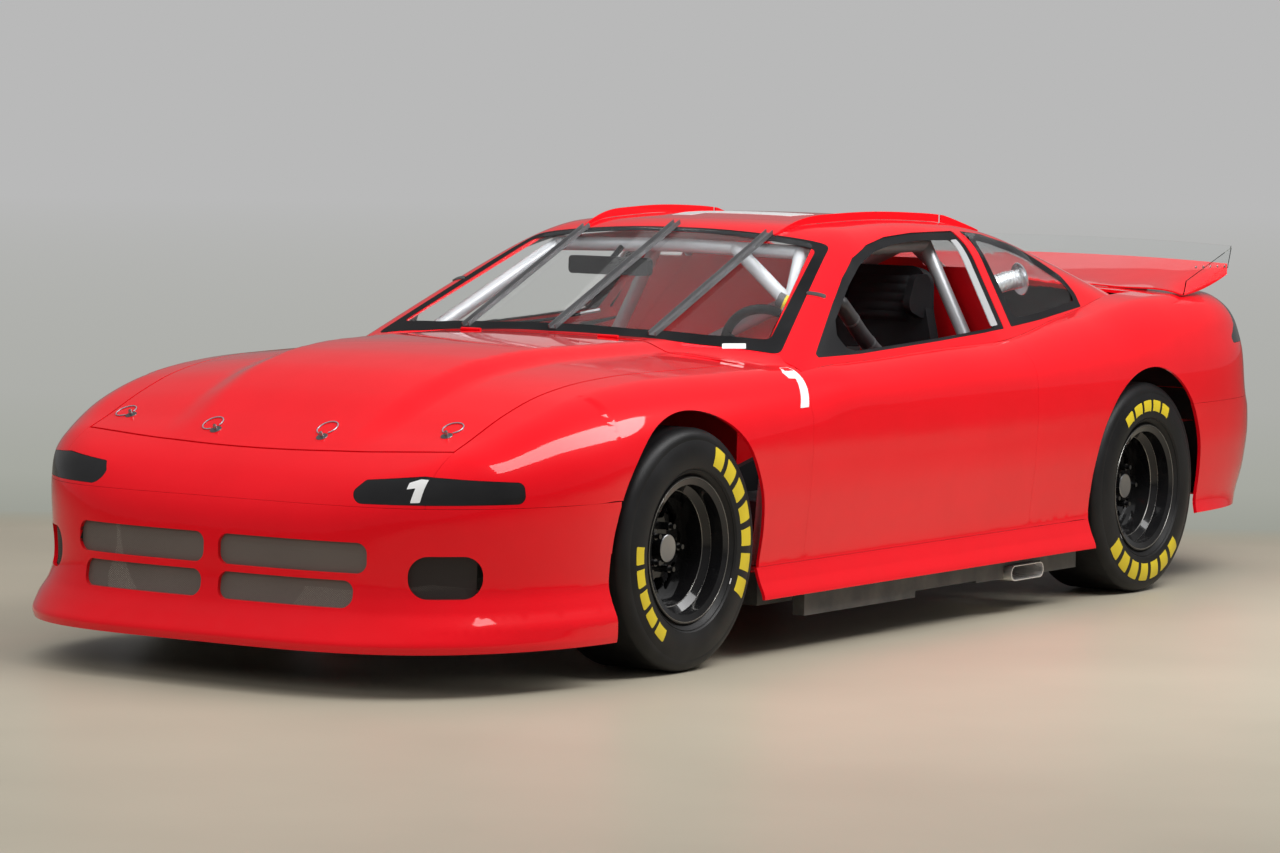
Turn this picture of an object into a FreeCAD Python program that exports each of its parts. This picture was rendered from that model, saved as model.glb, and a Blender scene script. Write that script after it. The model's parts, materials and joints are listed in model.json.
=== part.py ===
import FreeCAD, Part
import math
import os

os.makedirs("parts", exist_ok=True)

# Stock car, millimetres. +Z is up, -Y is the front and +X is the driver's side.
# The front axle is at y = 0, the floor at z = 0 and the car's centre plane at x = 0.

V = FreeCAD.Vector
X_AXIS = V(1, 0, 0)
Y_AXIS = V(0, 1, 0)
Z_AXIS = V(0, 0, 1)

# Driving sizes
WHEELBASE = 2743.0
RIM_LIP_X = 895.0            # outer face of the wheel rims
RIM_WIDTH = 254.0
TYRE_RADIUS = 345.0
TYRE_WIDTH = 286.0
TYRE_BEAD_RADIUS = 203.0
AXLE_HEIGHT = TYRE_RADIUS
SKIN = 10.0                  # body panel thickness
SEAM = 0.8                   # between panels that are fixed to each other
LID_GAP = 6.0                # round the hood and the deck lid

FRONT_ARCH_RADIUS = 375.0
REAR_ARCH_RADIUS = 390.0
FRONT_ARCH_HEIGHT = 362.0
REAR_ARCH_HEIGHT = 352.0
ARCH_FRONT_EDGE = -378.0     # rear edge of the front bumper, at the front arch
ARCH_REAR_EDGE = 352.0       # front end of the side skirt
SKIRT_REAR_EDGE = WHEELBASE - 392.0
TAIL_ARCH_EDGE = WHEELBASE + 372.0

NOSE_SEAM = 505.0            # height of the seam between the bumper and the header panel
DOOR_FRONT = 612.0
DOOR_REAR = 1960.0
SKIRT_TOP = 268.0
SKIRT_BOTTOM = 176.0
LIP_BOTTOM = 120.0
HOOD_REAR = 532.0
HOOD_FRONT = -772.0
HOOD_HALF_FRONT = 640.0
HOOD_HALF_REAR = 706.0
DECK_FRONT = 3160.0
DECK_REAR = 3600.0
TAIL_BOW = 96.0              # how far the deck's rear seam bows back
DECK_HALF = 640.0
NOSE_BOW = 62.0              # how far the hood's front seam bows forward
BUMPER_SKIN = 12.0
BUMPER_SEAM = 606.0          # height of the seam above the rear bumper
TAIL_BOTTOM = 236.0
DECK_BRIDGE_FRONT = 3098.0
GLASS = 5.0
HINGE_X = 250.0
HINGE_HALF = 35.0
HINGE_RADIUS = 5.0
HINGE_PLAY = 0.6
CAR_MIDDLE_Y = 1382.0        # halfway from nose to tail, moved to y = 0 on export

# Straps, strips and the spoiler
STRAP_X = 340.0
STRIP_X_FRONT = 357.0
STRIP_X_REAR = 447.0
STRIP_HEIGHT = 26.0
STRIP_RUN = 1100.0           # length over which the strips spread from front to rear
# Strips on each side of the roof: front, rear, seat gap
ROOF_STRIPS = [(1285.0, 2160.0, 0.85), (2172.0, 2385.0, 0.6)]
SPOILER_HALF = 785.0
SPOILER_FRONT_Y = 3225.0
SPOILER_FRONT_SWEEP = 35.0   # how far the foot runs forward at the ends
SPOILER_REAR_Y = 3770.0
SPOILER_SWEEP = 245.0        # how far the rear edge runs forward at the ends
SPOILER_HEIGHT = 1062.0
SPOILER_DROOP = 6.0
SPOILER_DEPTH = 38.0
SPOILER_LIP = 5.0
SPOILER_SEAT = 1.6
SPOILER_RIBS = (-420.0, 0.0, 420.0)
RIB_HALF = 6.0
BLADE_HEIGHT = 76.0
BLADE_LEAN = 26.0
FENCE_FRONT_HEIGHT = 48.0
FENCE_REAR_HEIGHT = 92.0

MIRROR_X = -200.0
MIRROR_Z = 1072.0
MIRROR_HALF = 150.0

# Chassis
RAIL_X = 720.0
RAIL_HALF = 38.0
RAIL_FRONT = 580.0
RAIL_REAR = WHEELBASE - 453
RAIL_BOTTOM = 128.0
FLOOR_Z = 228.0
SNOUT_FRONT = -760.0
SNOUT_BOTTOM = 250.0
SNOUT_TOP = 350.0
TAIL_RAIL_Z = 420.0
ARM_MOUNT_Y = WHEELBASE - 1013
PIPE_Y = SKIRT_REAR_EDGE - 406
PIPE_TOP = 155.0
SEAT = 0.4
FLOOR_REAR = WHEELBASE - 663
SNOUT_X = 330.0
TAIL_RAIL_X = 470.0
SIDE_RAIL_X = 884.0
SIDE_RAIL_WIDTH = 40.0
SIDE_RAIL_FRONT = 640.0
SIDE_RAIL_REAR = SKIRT_REAR_EDGE - 51
SIDE_RAIL_STEPS = (1282.0, SKIRT_REAR_EDGE - 696)
SIDE_RAIL_BOTTOMS = (103.0, 123.0, 116.0)
SIDE_RAIL_LUGS = (700.0, SKIRT_REAR_EDGE - 251)
FIREWALL_Y = 545.0
HOOP_Y = WHEELBASE - 783
HALO_Y = 1290.0
TUBE = 22.0
COLUMN_RADIUS = 19.0
DOOR_BARS = (380.0, 530.0, 680.0)
CAGE_HALF = 690.0            # half width at the hoop's knees
CAGE_FOOT = 232.0
CAGE_KNEE = 790.0
CAGE_TOP = 1160.0
SHEET_HALF = 690.0
SHEET_TOP = 1100.0
SEAT_X = 400.0
SEAT_Y = 1740.0              # front of the backrest's foot
SEAT_Z = 320.0
SEAT_TOP = 1092.0
SEAT_BACK = 55.0
SEAT_LEAN = 9.5
DASH_HALF = 650.0
DASH_FRONT = 800.0
DASH_REAR = 960.0
DASH_TOP = 790.0
DASH_BOTTOM = 640.0
ENGINE_HALF = 270.0
ENGINE_FRONT = -330.0
ENGINE_REAR = 470.0
ENGINE_BOTTOM = 285.0
ENGINE_TOP = 700.0
GEARBOX_HALF = 110.0
GEARBOX_REAR = 1010.0
FUEL_HALF = 330.0
FUEL_FRONT = WHEELBASE + 337
TUNNEL_HALF = 146.0
TUNNEL_Z = 366.0
WHEEL_Y = 1215.0
WHEEL_Z = 800.0
WHEEL_TILT = math.radians(20)

# Wheels and axles
RIM_LIP_RADIUS = 207.5
DISC_X = -128.0              # mounting disc, in from the outer lip
HUB_BORE = 50.0
WINDOW_COUNT = 8
WINDOW_INNER = 84.0           # openings in the wheel's disc: radius range and half widths
WINDOW_OUTER = 146.0
WINDOW_HALVES = (21.0, 43.0)
HUB_RADIUS = 40.0
LUG_COUNT = 5
LUG_CIRCLE = 63.5
LUG_RADIUS = 11.0
SPINDLE_RADIUS = 22.0
BEARING_GAP = 0.6
SPINDLE_END_X = 790.0
KINGPIN_X = 690.0
ARM_Y = 150.0
STEER_ARM_X = 600.0
STEER_ARM_Z = 243.0
LINK_RADIUS = 11.0
MOVING_GAP = 6.0
LINK_Z = STEER_ARM_Z - MOVING_GAP - LINK_RADIUS
AXLE_TUBE_X = 735.0

# Outlines on the slanting corners of the body: along the corner, height
LAMP_WAY_X = 0.62
LAMP_WAY_Y = 0.7846
HEADLAMP = [(-292.0, 513.0), (214.0, 516.0), (208.0, 574.0), (-60.0, 590.0), (-215.0, 575.0)]
FOG_OPENING = [(-105.0, 262.0), (98.0, 262.0), (98.0, 378.0), (-105.0, 378.0)]
FOG_ROUND = 54.0
TAIL_LAMP_WAY_X = 0.66
TAIL_LAMP_WAY_Y = 0.7513
TAIL_LAMP_ORIGIN_Y = 3000.0
TAIL_LAMP = [(-225.0, BUMPER_SEAM + 189), (430.0, BUMPER_SEAM + 186), (312.0, BUMPER_SEAM + 250),
             (256.0, BUMPER_SEAM + 318), (222.0, BUMPER_SEAM + 340), (-225.0, BUMPER_SEAM + 322)]
# Grille openings on one side: inner x, outer x, lower z, upper z
GRILLE_OPENINGS = [(25.0, 500.0, 327.0, 410.0), (30.0, 465.0, 233.0, 307.0)]

# Body plan at each height: nose y on the centre line, half width at the doors, tail y
PLAN = [
    # z, nose, side, tail
    (110.0, -1098.0, 925.0, 3620.0),
    (140.0, -1108.0, 930.0, 3660.0),
    (175.0, -1080.0, 930.0, 3700.0),
    (230.0, -1036.0, 910.0, 3760.0),
    (280.0, -1024.0, 897.0, 3815.0),
    (380.0, -1020.0, 906.0, 3866.0),
    (480.0, -1014.0, 917.0, 3874.0),
    (560.0, -995.0, 921.0, 3862.0),
    (620.0, -968.0, 924.0, 3826.0),
    (680.0, -955.0, 923.0, 3812.0),
    (750.0, -950.0, 918.0, 3806.0),
    (850.0, -940.0, 893.0, 3790.0),
    (950.0, -930.0, 850.0, 3740.0),
]

# Top of the body along the car: height on the centre line, drop at 700 mm out,
# rise and half width of the hood's raised bulge, and softness of the shoulder
TOP = [
    # y, height, drop, bulge, bulge half width, shoulder
    (-1100.0, 410.0, 0.0, 0.0, 300.0, 40.0),
    (-1000.0, 500.0, 0.0, 0.0, 300.0, 45.0),
    (-900.0, 592.0, 5.0, 0.0, 310.0, 50.0),
    (-800.0, 650.0, 12.0, 2.0, 320.0, 80.0),
    (-700.0, 695.0, 20.0, 10.0, 335.0, 125.0),
    (-550.0, 762.0, 28.0, 20.0, 350.0, 175.0),
    (-384.0, 815.0, 32.0, 26.0, 365.0, 210.0),
    (-200.0, 846.0, 34.0, 30.0, 380.0, 205.0),
    (0.0, 862.0, 36.0, 30.0, 392.0, 200.0),
    (300.0, 868.0, 36.0, 28.0, 410.0, 175.0),
    (600.0, 872.0, 36.0, 25.0, 425.0, 150.0),
    (900.0, 872.0, 30.0, 20.0, 430.0, 110.0),
    (1500.0, 885.0, 28.0, 0.0, 430.0, 110.0),
    (2000.0, 918.0, 44.0, 0.0, 430.0, 110.0),
    (2500.0, 965.0, 48.0, 0.0, 430.0, 130.0),
    (3000.0, 985.0, 24.0, 0.0, 430.0, 130.0),
    (3400.0, 980.0, 16.0, 0.0, 430.0, 100.0),
    (3700.0, 955.0, 14.0, 0.0, 430.0, 72.0),
    (3900.0, 925.0, 14.0, 0.0, 430.0, 60.0),
]
NOSE_ROUND_START = -340.0
TAIL_ROUND_START = 2950.0
NOSE_SQUARENESS = 3.7
TAIL_SQUARENESS = 4.6
BULGE_EDGE = 110.0

# Roof line: height on the centre line
ROOF = [
    # y, height
    (1150.0, 1178.0),
    (1300.0, 1211.0),
    (1500.0, 1229.0),
    (1800.0, 1238.0),
    (2100.0, 1230.0),
    (2350.0, 1200.0),
    (2600.0, 1137.0),
    (2850.0, 1062.0),
    (3100.0, 985.0),
    (3350.0, 905.0),
]
ROOF_DROP = 22.0             # roof height lost at 500 mm out
SCREEN_FOOT_Y = 588.0        # windshield surface at the foot of its centre line
SCREEN_FOOT_Z = 897.0
SCREEN_SLOPE = 0.4485        # rise over run
SCREEN_SWEEP = 0.00040       # how the windshield wraps back, per mm out squared
CABIN_HALF_LOW = 806.0       # half width of the cabin at CABIN_LOW
CABIN_LOW = 860.0
CABIN_LEAN = 0.66            # lean of the side glass, out over up
CABIN_TAPER = 0.085          # the cabin narrows towards the tail
CABIN_TAPER_START = 1900.0
ROOF_SHOULDER = 95.0
SCREEN_SHOULDER = 36.0
CABIN_CENTRE_Z = 600.0
CABIN_STATIONS = [694.0, 760.0, 840.0, 930.0, 1030.0, 1130.0, 1220.0, 1300.0, 1390.0, 1520.0, 1680.0,
                  1860.0, 2040.0, 2220.0, 2400.0, 2580.0, 2760.0, 2930.0, 3090.0]

# Windshield and backlight openings, seen from above
SCREEN_HIGH_Y = 1262.0
SCREEN_HALF_LOW = 694.0
SCREEN_HALF_HIGH = 500.0
BACKLIGHT_HIGH_Y = 2330.0
BACKLIGHT_LOW_Y = 3010.0
BACKLIGHT_HALF_HIGH = 470.0
BACKLIGHT_HALF_LOW = 520.0

# Side openings, seen from the side: y, z
DRIVER_WINDOW = [(789.0, 848.0), (1048.0, 849.0), (1546.0, 868.0), (1985.0, 889.0), (2060.0, 1190.0),
                 (1772.0, 1190.0), (1592.0, 1180.0), (1444.0, 1159.0), (1308.0, 1123.0), (1184.0, 1067.0),
                 (1044.0, 992.0)]
QUARTER_WINDOW = [(2040.0, 893.0), (2280.0, 906.0), (2652.0, 934.0), (2661.0, 974.0), (2632.0, 1032.0),
                  (2555.0, 1079.0), (2476.0, 1119.0), (2372.0, 1150.0), (2240.0, 1176.0), (2112.0, 1187.0)]
SIDE_WINDOW_ROUND = 7.0


# ---- surfaces of the body -------------------------------------------------

def column(table, index):
    return [row[index] for row in table]


def smooth(keys, values, at):
    """Smooth curve through a table's points, straight beyond its ends."""
    last = len(keys) - 1
    if at <= keys[0]:
        slope = (values[1] - values[0]) / (keys[1] - keys[0])
        return values[0] + (at - keys[0]) * slope
    if at >= keys[last]:
        slope = (values[last] - values[last - 1]) / (keys[last] - keys[last - 1])
        return values[last] + (at - keys[last]) * slope
    i = 0
    while at > keys[i + 1]:
        i += 1
    slopes = []
    for k in (i, i + 1):
        if k == 0 or k == last:
            j = min(k, last - 1)
            slopes.append((values[j + 1] - values[j]) / (keys[j + 1] - keys[j]))
            continue
        before = (values[k] - values[k - 1]) / (keys[k] - keys[k - 1])
        after = (values[k + 1] - values[k]) / (keys[k + 1] - keys[k])
        if before * after <= 0:
            slopes.append(0.0)
        else:
            slopes.append(2 * before * after / (before + after))
    span = keys[i + 1] - keys[i]
    t = (at - keys[i]) / span
    return ((2 * t ** 3 - 3 * t ** 2 + 1) * values[i]
            + (t ** 3 - 2 * t ** 2 + t) * span * slopes[0]
            + (3 * t ** 2 - 2 * t ** 3) * values[i + 1]
            + (t ** 3 - t ** 2) * span * slopes[1])


def ease(t):
    t = min(1.0, max(0.0, t))
    return t * t * (3 - 2 * t)


def round_max(a, b, radius):
    """Larger of two distances, with the corner between them rounded."""
    h = max(radius - abs(a - b), 0.0) / radius
    return max(a, b) + h * h * radius / 4


PLAN_Z = column(PLAN, 0)
PLAN_NOSE = column(PLAN, 1)
PLAN_SIDE = column(PLAN, 2)
PLAN_TAIL = column(PLAN, 3)
TOP_Y = column(TOP, 0)
TOP_HEIGHT = column(TOP, 1)
TOP_DROP = column(TOP, 2)
TOP_BULGE = column(TOP, 3)
TOP_BULGE_HALF = column(TOP, 4)
TOP_SHOULDER = column(TOP, 5)
ROOF_Y = column(ROOF, 0)
ROOF_HEIGHT = column(ROOF, 1)


def side_width(y, z):
    width = smooth(PLAN_Z, PLAN_SIDE, z)
    width -= 18 * ease((300 - y) / 700)
    width -= 10 * ease((y - 2700) / 700)
    return width


def plan_distance(x, y, z):
    """How far a point lies outside the body's plan outline at its height."""
    width = side_width(y, z)
    nose_depth = NOSE_ROUND_START - smooth(PLAN_Z, PLAN_NOSE, z)
    tail_depth = smooth(PLAN_Z, PLAN_TAIL, z) - TAIL_ROUND_START
    ahead = max(NOSE_ROUND_START - y, 0.0) / nose_depth
    behind = max(y - TAIL_ROUND_START, 0.0) / tail_depth
    power = NOSE_SQUARENESS if y < NOSE_ROUND_START else TAIL_SQUARENESS
    across = abs(x) / width
    level = across ** power + ahead ** 2 + behind ** 3.4 - 1
    slope_x = power * across ** (power - 1) / width
    slope_y = -2 * ahead / nose_depth + 3.4 * behind ** 2.4 / tail_depth
    return level / max(math.hypot(slope_x, slope_y), 0.0006)


def top_height(x, y):
    height = smooth(TOP_Y, TOP_HEIGHT, y)
    height -= smooth(TOP_Y, TOP_DROP, y) * (abs(x) / 700) ** 2.2
    half = smooth(TOP_Y, TOP_BULGE_HALF, y)
    bulge = smooth(TOP_Y, TOP_BULGE, y)
    return height + bulge * ease((half + BULGE_EDGE / 2 - abs(x)) / BULGE_EDGE)


def body_distance(x, y, z):
    """Signed distance to the lower body: below zero inside."""
    step = 5.0
    slope_x = (top_height(x + step, y) - top_height(x - step, y)) / (2 * step)
    slope_y = (top_height(x, y + step) - top_height(x, y - step)) / (2 * step)
    over = (z - top_height(x, y)) / math.sqrt(1 + slope_x ** 2 + slope_y ** 2)
    return round_max(plan_distance(x, y, z), over, smooth(TOP_Y, TOP_SHOULDER, y))


def screen_y(x, z):
    return SCREEN_FOOT_Y + (z - SCREEN_FOOT_Z) / SCREEN_SLOPE + SCREEN_SWEEP * x * x


def cabin_half(y, z):
    half = CABIN_HALF_LOW - CABIN_LEAN * (z - CABIN_LOW)
    return half - CABIN_TAPER * max(y - CABIN_TAPER_START, 0.0) ** 1.12 / 2.2


def cabin_distance(x, y, z):
    """Signed distance to the roof, side glass and windshield surfaces."""
    roof = smooth(ROOF_Y, ROOF_HEIGHT, y) - ROOF_DROP * (abs(x) / 500) ** 2.2
    over = (z - roof) * 0.96
    aside = (abs(x) - cabin_half(y, z)) / math.hypot(1, CABIN_LEAN)
    ahead = (screen_y(x, z) - y) * SCREEN_SLOPE / math.hypot(1, SCREEN_SLOPE)
    return round_max(round_max(over, aside, ROOF_SHOULDER), ahead, SCREEN_SHOULDER)


def surface_point(distance, start, way, reach=1400.0):
    """Where a straight line from inside the body meets its surface."""
    low = 0.0
    high = reach
    for _ in range(26):
        middle = (low + high) / 2
        p = start + way * middle
        if distance(p.x, p.y, p.z) < 0:
            low = middle
        else:
            high = middle
    return start + way * low


def inward(distance, p, depth):
    """A point moved into the body by a panel's thickness."""
    h = 3.0
    g = V(distance(p.x + h, p.y, p.z) - distance(p.x - h, p.y, p.z),
          distance(p.x, p.y + h, p.z) - distance(p.x, p.y - h, p.z),
          distance(p.x, p.y, p.z + h) - distance(p.x, p.y, p.z - h))
    g.normalize()
    return p - g * depth


# ---- solids ---------------------------------------------------------------

def cubic_basis(knots, count, t):
    """Values at t of the cubic B-spline basis on a knot list."""
    t = min(max(t, knots[3]), knots[count] - 1e-9)
    values = [1.0 if knots[i] <= t < knots[i + 1] else 0.0 for i in range(count + 3)]
    for degree in (1, 2, 3):
        for i in range(count + 3 - degree):
            left = knots[i + degree] - knots[i]
            right = knots[i + degree + 1] - knots[i + 1]
            a = (t - knots[i]) / left * values[i] if left > 0 else 0.0
            b = (knots[i + degree + 1] - t) / right * values[i + 1] if right > 0 else 0.0
            values[i] = a + b
    return values[:count]


def solved(matrix, right):
    """Gaussian elimination for several right-hand vectors at once."""
    size = len(matrix)
    rows = [list(matrix[i]) for i in range(size)]
    answers = [[V(p) for p in right[i]] for i in range(size)]
    for i in range(size):
        pivot = max(range(i, size), key=lambda k: abs(rows[k][i]))
        rows[i], rows[pivot] = rows[pivot], rows[i]
        answers[i], answers[pivot] = answers[pivot], answers[i]
        scale = 1.0 / rows[i][i]
        rows[i] = [value * scale for value in rows[i]]
        answers[i] = [p * scale for p in answers[i]]
        for k in range(size):
            factor = rows[k][i]
            if k == i or factor == 0.0:
                continue
            rows[k] = [a - factor * b for a, b in zip(rows[k], rows[i])]
            answers[k] = [a - b * factor for a, b in zip(answers[k], answers[i])]
    return answers


def spacing(grid):
    """Parameters for the rows of a grid, from the mean distance between them."""
    marks = [0.0]
    for row, after in zip(grid, grid[1:]):
        marks.append(marks[-1] + sum((b - a).Length for a, b in zip(row, after)) / len(row))
    return [mark / marks[-1] for mark in marks]


def turned(grid):
    return [list(column_of_points) for column_of_points in zip(*grid)]


def spline_poles(grid, marks):
    """Poles that carry a cubic spline through the rows of a grid."""
    knots = [0.0] * 4 + marks[2:-2] + [1.0] * 4
    matrix = [cubic_basis(knots, len(grid), t) for t in marks]
    return solved(matrix, grid)


def smooth_surface(grid):
    """Cubic surface through every point of a grid."""
    u_marks = spacing(grid)
    v_marks = spacing(turned(grid))
    poles = turned(spline_poles(turned(spline_poles(grid, u_marks)), v_marks))
    u_knots = [0.0] + u_marks[2:-2] + [1.0]
    v_knots = [0.0] + v_marks[2:-2] + [1.0]
    surface = Part.BSplineSurface()
    u_mults = [4] + [1] * (len(u_knots) - 2) + [4]
    v_mults = [4] + [1] * (len(v_knots) - 2) + [4]
    surface.buildFromPolesMultsKnots(poles, u_mults, v_mults, u_knots, v_knots, False, False, 3, 3)
    return surface


def skin_between(outer, inner):
    """A closed panel between two grids of points."""
    surfaces = [smooth_surface(outer), smooth_surface(inner)]
    faces = [surface.toShape() for surface in surfaces]
    for pick in range(4):
        curves = []
        for surface in surfaces:
            u0, u1, v0, v1 = surface.bounds()
            if pick == 0:
                curves.append(surface.uIso(u0))
            elif pick == 1:
                curves.append(surface.uIso(u1))
            elif pick == 2:
                curves.append(surface.vIso(v0))
            else:
                curves.append(surface.vIso(v1))
        faces.append(Part.makeRuledSurface(curves[0].toShape(), curves[1].toShape()))
    shell = Part.makeShell(faces)
    shell.sewShape()
    solid = Part.makeSolid(shell)
    if solid.Volume < 0:
        solid.reverse()
    return solid


def panel(distance, grid, depth=SKIN):
    inner = [[inward(distance, p, depth) for p in row] for row in grid]
    return skin_between(grid, inner)


def spread(first, last, count):
    return [first + (last - first) * i / (count - 1) for i in range(count)]


def top_point(x, y, z=None, distance=body_distance):
    start = V(x, y, 300.0 if z is None else z)
    return surface_point(distance, start, Z_AXIS)


def side_point(y, z, distance=body_distance, x=0.0):
    return surface_point(distance, V(x, y, z), X_AXIS)


def fan(distance, centre, first, last, count):
    """Points of a surface between two of its points, on rays from one centre."""
    a = (first - centre).normalize()
    b = (last - centre).normalize()
    angle = a.getAngle(b)
    points = [first]
    for t in spread(0, 1, count)[1:-1]:
        way = a * (math.sin((1 - t) * angle) / math.sin(angle))
        way = way + b * (math.sin(t * angle) / math.sin(angle))
        points.append(surface_point(distance, centre, way))
    points.append(last)
    return points


def box(x0, x1, y0, y1, z0, z1):
    return Part.makeBox(x1 - x0, y1 - y0, z1 - z0, V(x0, y0, z0))


def rod(a, b, radius):
    return Part.makeCylinder(radius, (b - a).Length, a, b - a)


def pipe_run(points, radius):
    """Round tube through a few corners, with a ball at each corner."""
    shapes = [rod(a, b, radius) for a, b in zip(points, points[1:])]
    shapes += [Part.makeSphere(radius, p) for p in points[1:-1]]
    return shapes[0].fuse(shapes[1:])


def fused(shapes):
    shape = shapes[0].fuse(shapes[1:]) if len(shapes) > 1 else shapes[0]
    return shape.removeSplitter()


def mirrored(shape):
    return shape.mirror(V(0, 0, 0), X_AXIS)


def both(shape):
    return [shape, mirrored(shape)]


def without(shape, holes):
    for hole in holes:
        shape = shape.cut(hole)
    return shape


def rounded_polygon(points, radius):
    """Closed wire with rounded corners, in the plane of its points."""
    count = len(points)
    edges = []
    ends = []
    for i in range(count):
        before = points[i - 1]
        here = points[i]
        after = points[(i + 1) % count]
        a = (before - here).normalize()
        b = (after - here).normalize()
        half = a.getAngle(b) / 2
        reach = radius / math.tan(half)
        middle = here + (a + b).normalize() * (radius / math.sin(half) - radius)
        ends.append((here + a * reach, middle, here + b * reach))
    for i in range(count):
        start, middle, end = ends[i]
        edges.append(Part.Arc(start, middle, end).toShape())
        edges.append(Part.makeLine(end, ends[(i + 1) % count][0]))
    return Part.Wire(edges)


def prism(points, radius, way):
    """Rounded outline pushed through along a direction."""
    wire = rounded_polygon(points, radius)
    return Part.Face(wire).extrude(way)


nodes = {}


def keep(name, shape):
    nodes[name] = shape


# ---- outlines that panels share -------------------------------------------

def hood_half(y):
    t = (y - HOOD_FRONT) / (HOOD_REAR - HOOD_FRONT)
    return HOOD_HALF_FRONT + (HOOD_HALF_REAR - HOOD_HALF_FRONT) * ease(t)


def hood_front(x):
    return HOOD_FRONT - NOSE_BOW * (1 - (x / HOOD_HALF_FRONT) ** 2)


def cabin_foot(y):
    """Point of the line where the cabin's side stands on the body."""
    z = CABIN_LOW
    for _ in range(4):
        x = cabin_half(y, z)
        z = top_point(x, y).z
    return V(x, y, z)


def nose_point(angle, z):
    """Point of the nose at a height, by its angle from straight ahead."""
    way = V(math.sin(angle), -math.cos(angle), 0)
    return surface_point(body_distance, V(0, NOSE_ROUND_START, z), way)


def tail_point(angle, z):
    """Point of the tail at a height, by its angle from straight behind."""
    way = V(math.sin(angle), math.cos(angle), 0)
    return surface_point(body_distance, V(0, TAIL_ROUND_START, z), way)


def rear_point(x, z):
    return surface_point(body_distance, V(x, TAIL_ROUND_START, z), Y_AXIS)


def front_point(x, z):
    return surface_point(body_distance, V(x, NOSE_ROUND_START, z), -Y_AXIS)


def front_arch():
    wheel = Part.makeCylinder(FRONT_ARCH_RADIUS, 500, V(560, 0, FRONT_ARCH_HEIGHT), X_AXIS)
    return wheel.fuse(box(560, 1060, ARCH_FRONT_EDGE, ARCH_REAR_EDGE, 0, FRONT_ARCH_HEIGHT))


def rear_arch():
    wheel = Part.makeCylinder(REAR_ARCH_RADIUS, 500, V(560, WHEELBASE, REAR_ARCH_HEIGHT), X_AXIS)
    return wheel.fuse(box(560, 1060, SKIRT_REAR_EDGE, TAIL_ARCH_EDGE, 0, REAR_ARCH_HEIGHT))


def lamp_outline(points, grow, radius, way, origin):
    """Prism of an outline drawn on the slanting corner of the nose or tail."""
    along = V(way.y, -way.x, 0)
    if along.x < 0:
        along = along * -1
    corners = [origin + along * s + V(0, 0, z) for s, z in grown(points, grow)]
    return prism(corners, radius + grow, way * 1300)


def grown(points, distance):
    """Flat outline with every side moved out by a distance."""
    count = len(points)
    area = sum(points[i - 1][0] * points[i][1] - points[i][0] * points[i - 1][1] for i in range(count))
    turn = math.copysign(1.0, area)
    sides = []
    for i in range(count):
        a = points[i - 1]
        b = points[i]
        length = math.hypot(b[0] - a[0], b[1] - a[1])
        out = (turn * (b[1] - a[1]) / length, -turn * (b[0] - a[0]) / length)
        sides.append((out[0], out[1], out[0] * a[0] + out[1] * a[1] + distance))
    result = []
    for i in range(count):
        p, q, m = sides[i]
        r, s, n = sides[(i + 1) % count]
        cross = p * s - q * r
        result.append(((m * s - n * q) / cross, (p * n - r * m) / cross))
    return result


# ---- body panels ----------------------------------------------------------

def make_hood():
    grid = []
    for t in spread(0, 1, 11):
        row = []
        for s in spread(-1, 1, 15):
            front = hood_front(s * HOOD_HALF_FRONT)
            y = front + (HOOD_REAR - front) * t
            row.append(top_point(s * (hood_half(y) - LID_GAP), y))
        grid.append(row)
    return panel(body_distance, grid)


def make_header():
    """Panel between the hood and the bumper, across the nose between the fenders."""
    grid = []
    for s in spread(-1, 1, 11):
        x = s * (HOOD_HALF_FRONT - SEAM)
        top = top_point(x, hood_front(x) - LID_GAP)
        low = front_point(x, NOSE_SEAM + SEAM)
        centre = V(x, top.y + 170, NOSE_SEAM - 70)
        grid.append(fan(body_distance, centre, low, top, 7))
    return panel(body_distance, grid)


def make_fender():
    """Fender from the header panel to the door, over the front wheel."""
    grid = []
    start = front_point(HOOD_HALF_FRONT, NOSE_SEAM + SEAM)
    first = math.atan2(start.x, NOSE_ROUND_START - start.y)
    for t in spread(0, 1, 8):
        low = nose_point(first + (math.pi / 2 - first) * t, NOSE_SEAM + SEAM)
        y = hood_front(HOOD_HALF_FRONT) - LID_GAP * (1 - t)
        y += (NOSE_ROUND_START - hood_front(HOOD_HALF_FRONT)) * t
        top = top_point(hood_half(y), y)
        centre = V(HOOD_HALF_FRONT - 320 * ease(t), top.y + 170 * (1 - t), NOSE_SEAM - 70)
        grid.append(fan(body_distance, centre, low, top, 9))
    for y in spread(NOSE_ROUND_START, DOOR_FRONT - SEAM, 10)[1:]:
        drop = ease((y - NOSE_ROUND_START - 30) / 200)
        low = side_point(y, NOSE_SEAM + SEAM + (SKIRT_TOP - NOSE_SEAM) * drop)
        top = top_point(hood_half(y), y)
        grid.append(fan(body_distance, V(HOOD_HALF_FRONT - 320, y, NOSE_SEAM - 70), low, top, 9))
    return panel(body_distance, grid).cut(front_arch())


def make_front_bumper():
    grid = []
    for z in (LIP_BOTTOM, 140, 165, 200, 245, 300, 370, 440, NOSE_SEAM):
        edge = side_point(ARCH_FRONT_EDGE + 26, z)
        last = math.atan2(edge.x, NOSE_ROUND_START - 60 - edge.y)
        row = []
        for s in spread(-1, 1, 25):
            way = V(math.sin(last * s), -math.cos(last * s), 0)
            row.append(surface_point(body_distance, V(0, NOSE_ROUND_START - 60, z), way))
        grid.append(row)
    shape = panel(body_distance, grid, BUMPER_SKIN)
    for arch in both(front_arch()):
        shape = shape.cut(arch)
    return shape


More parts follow.
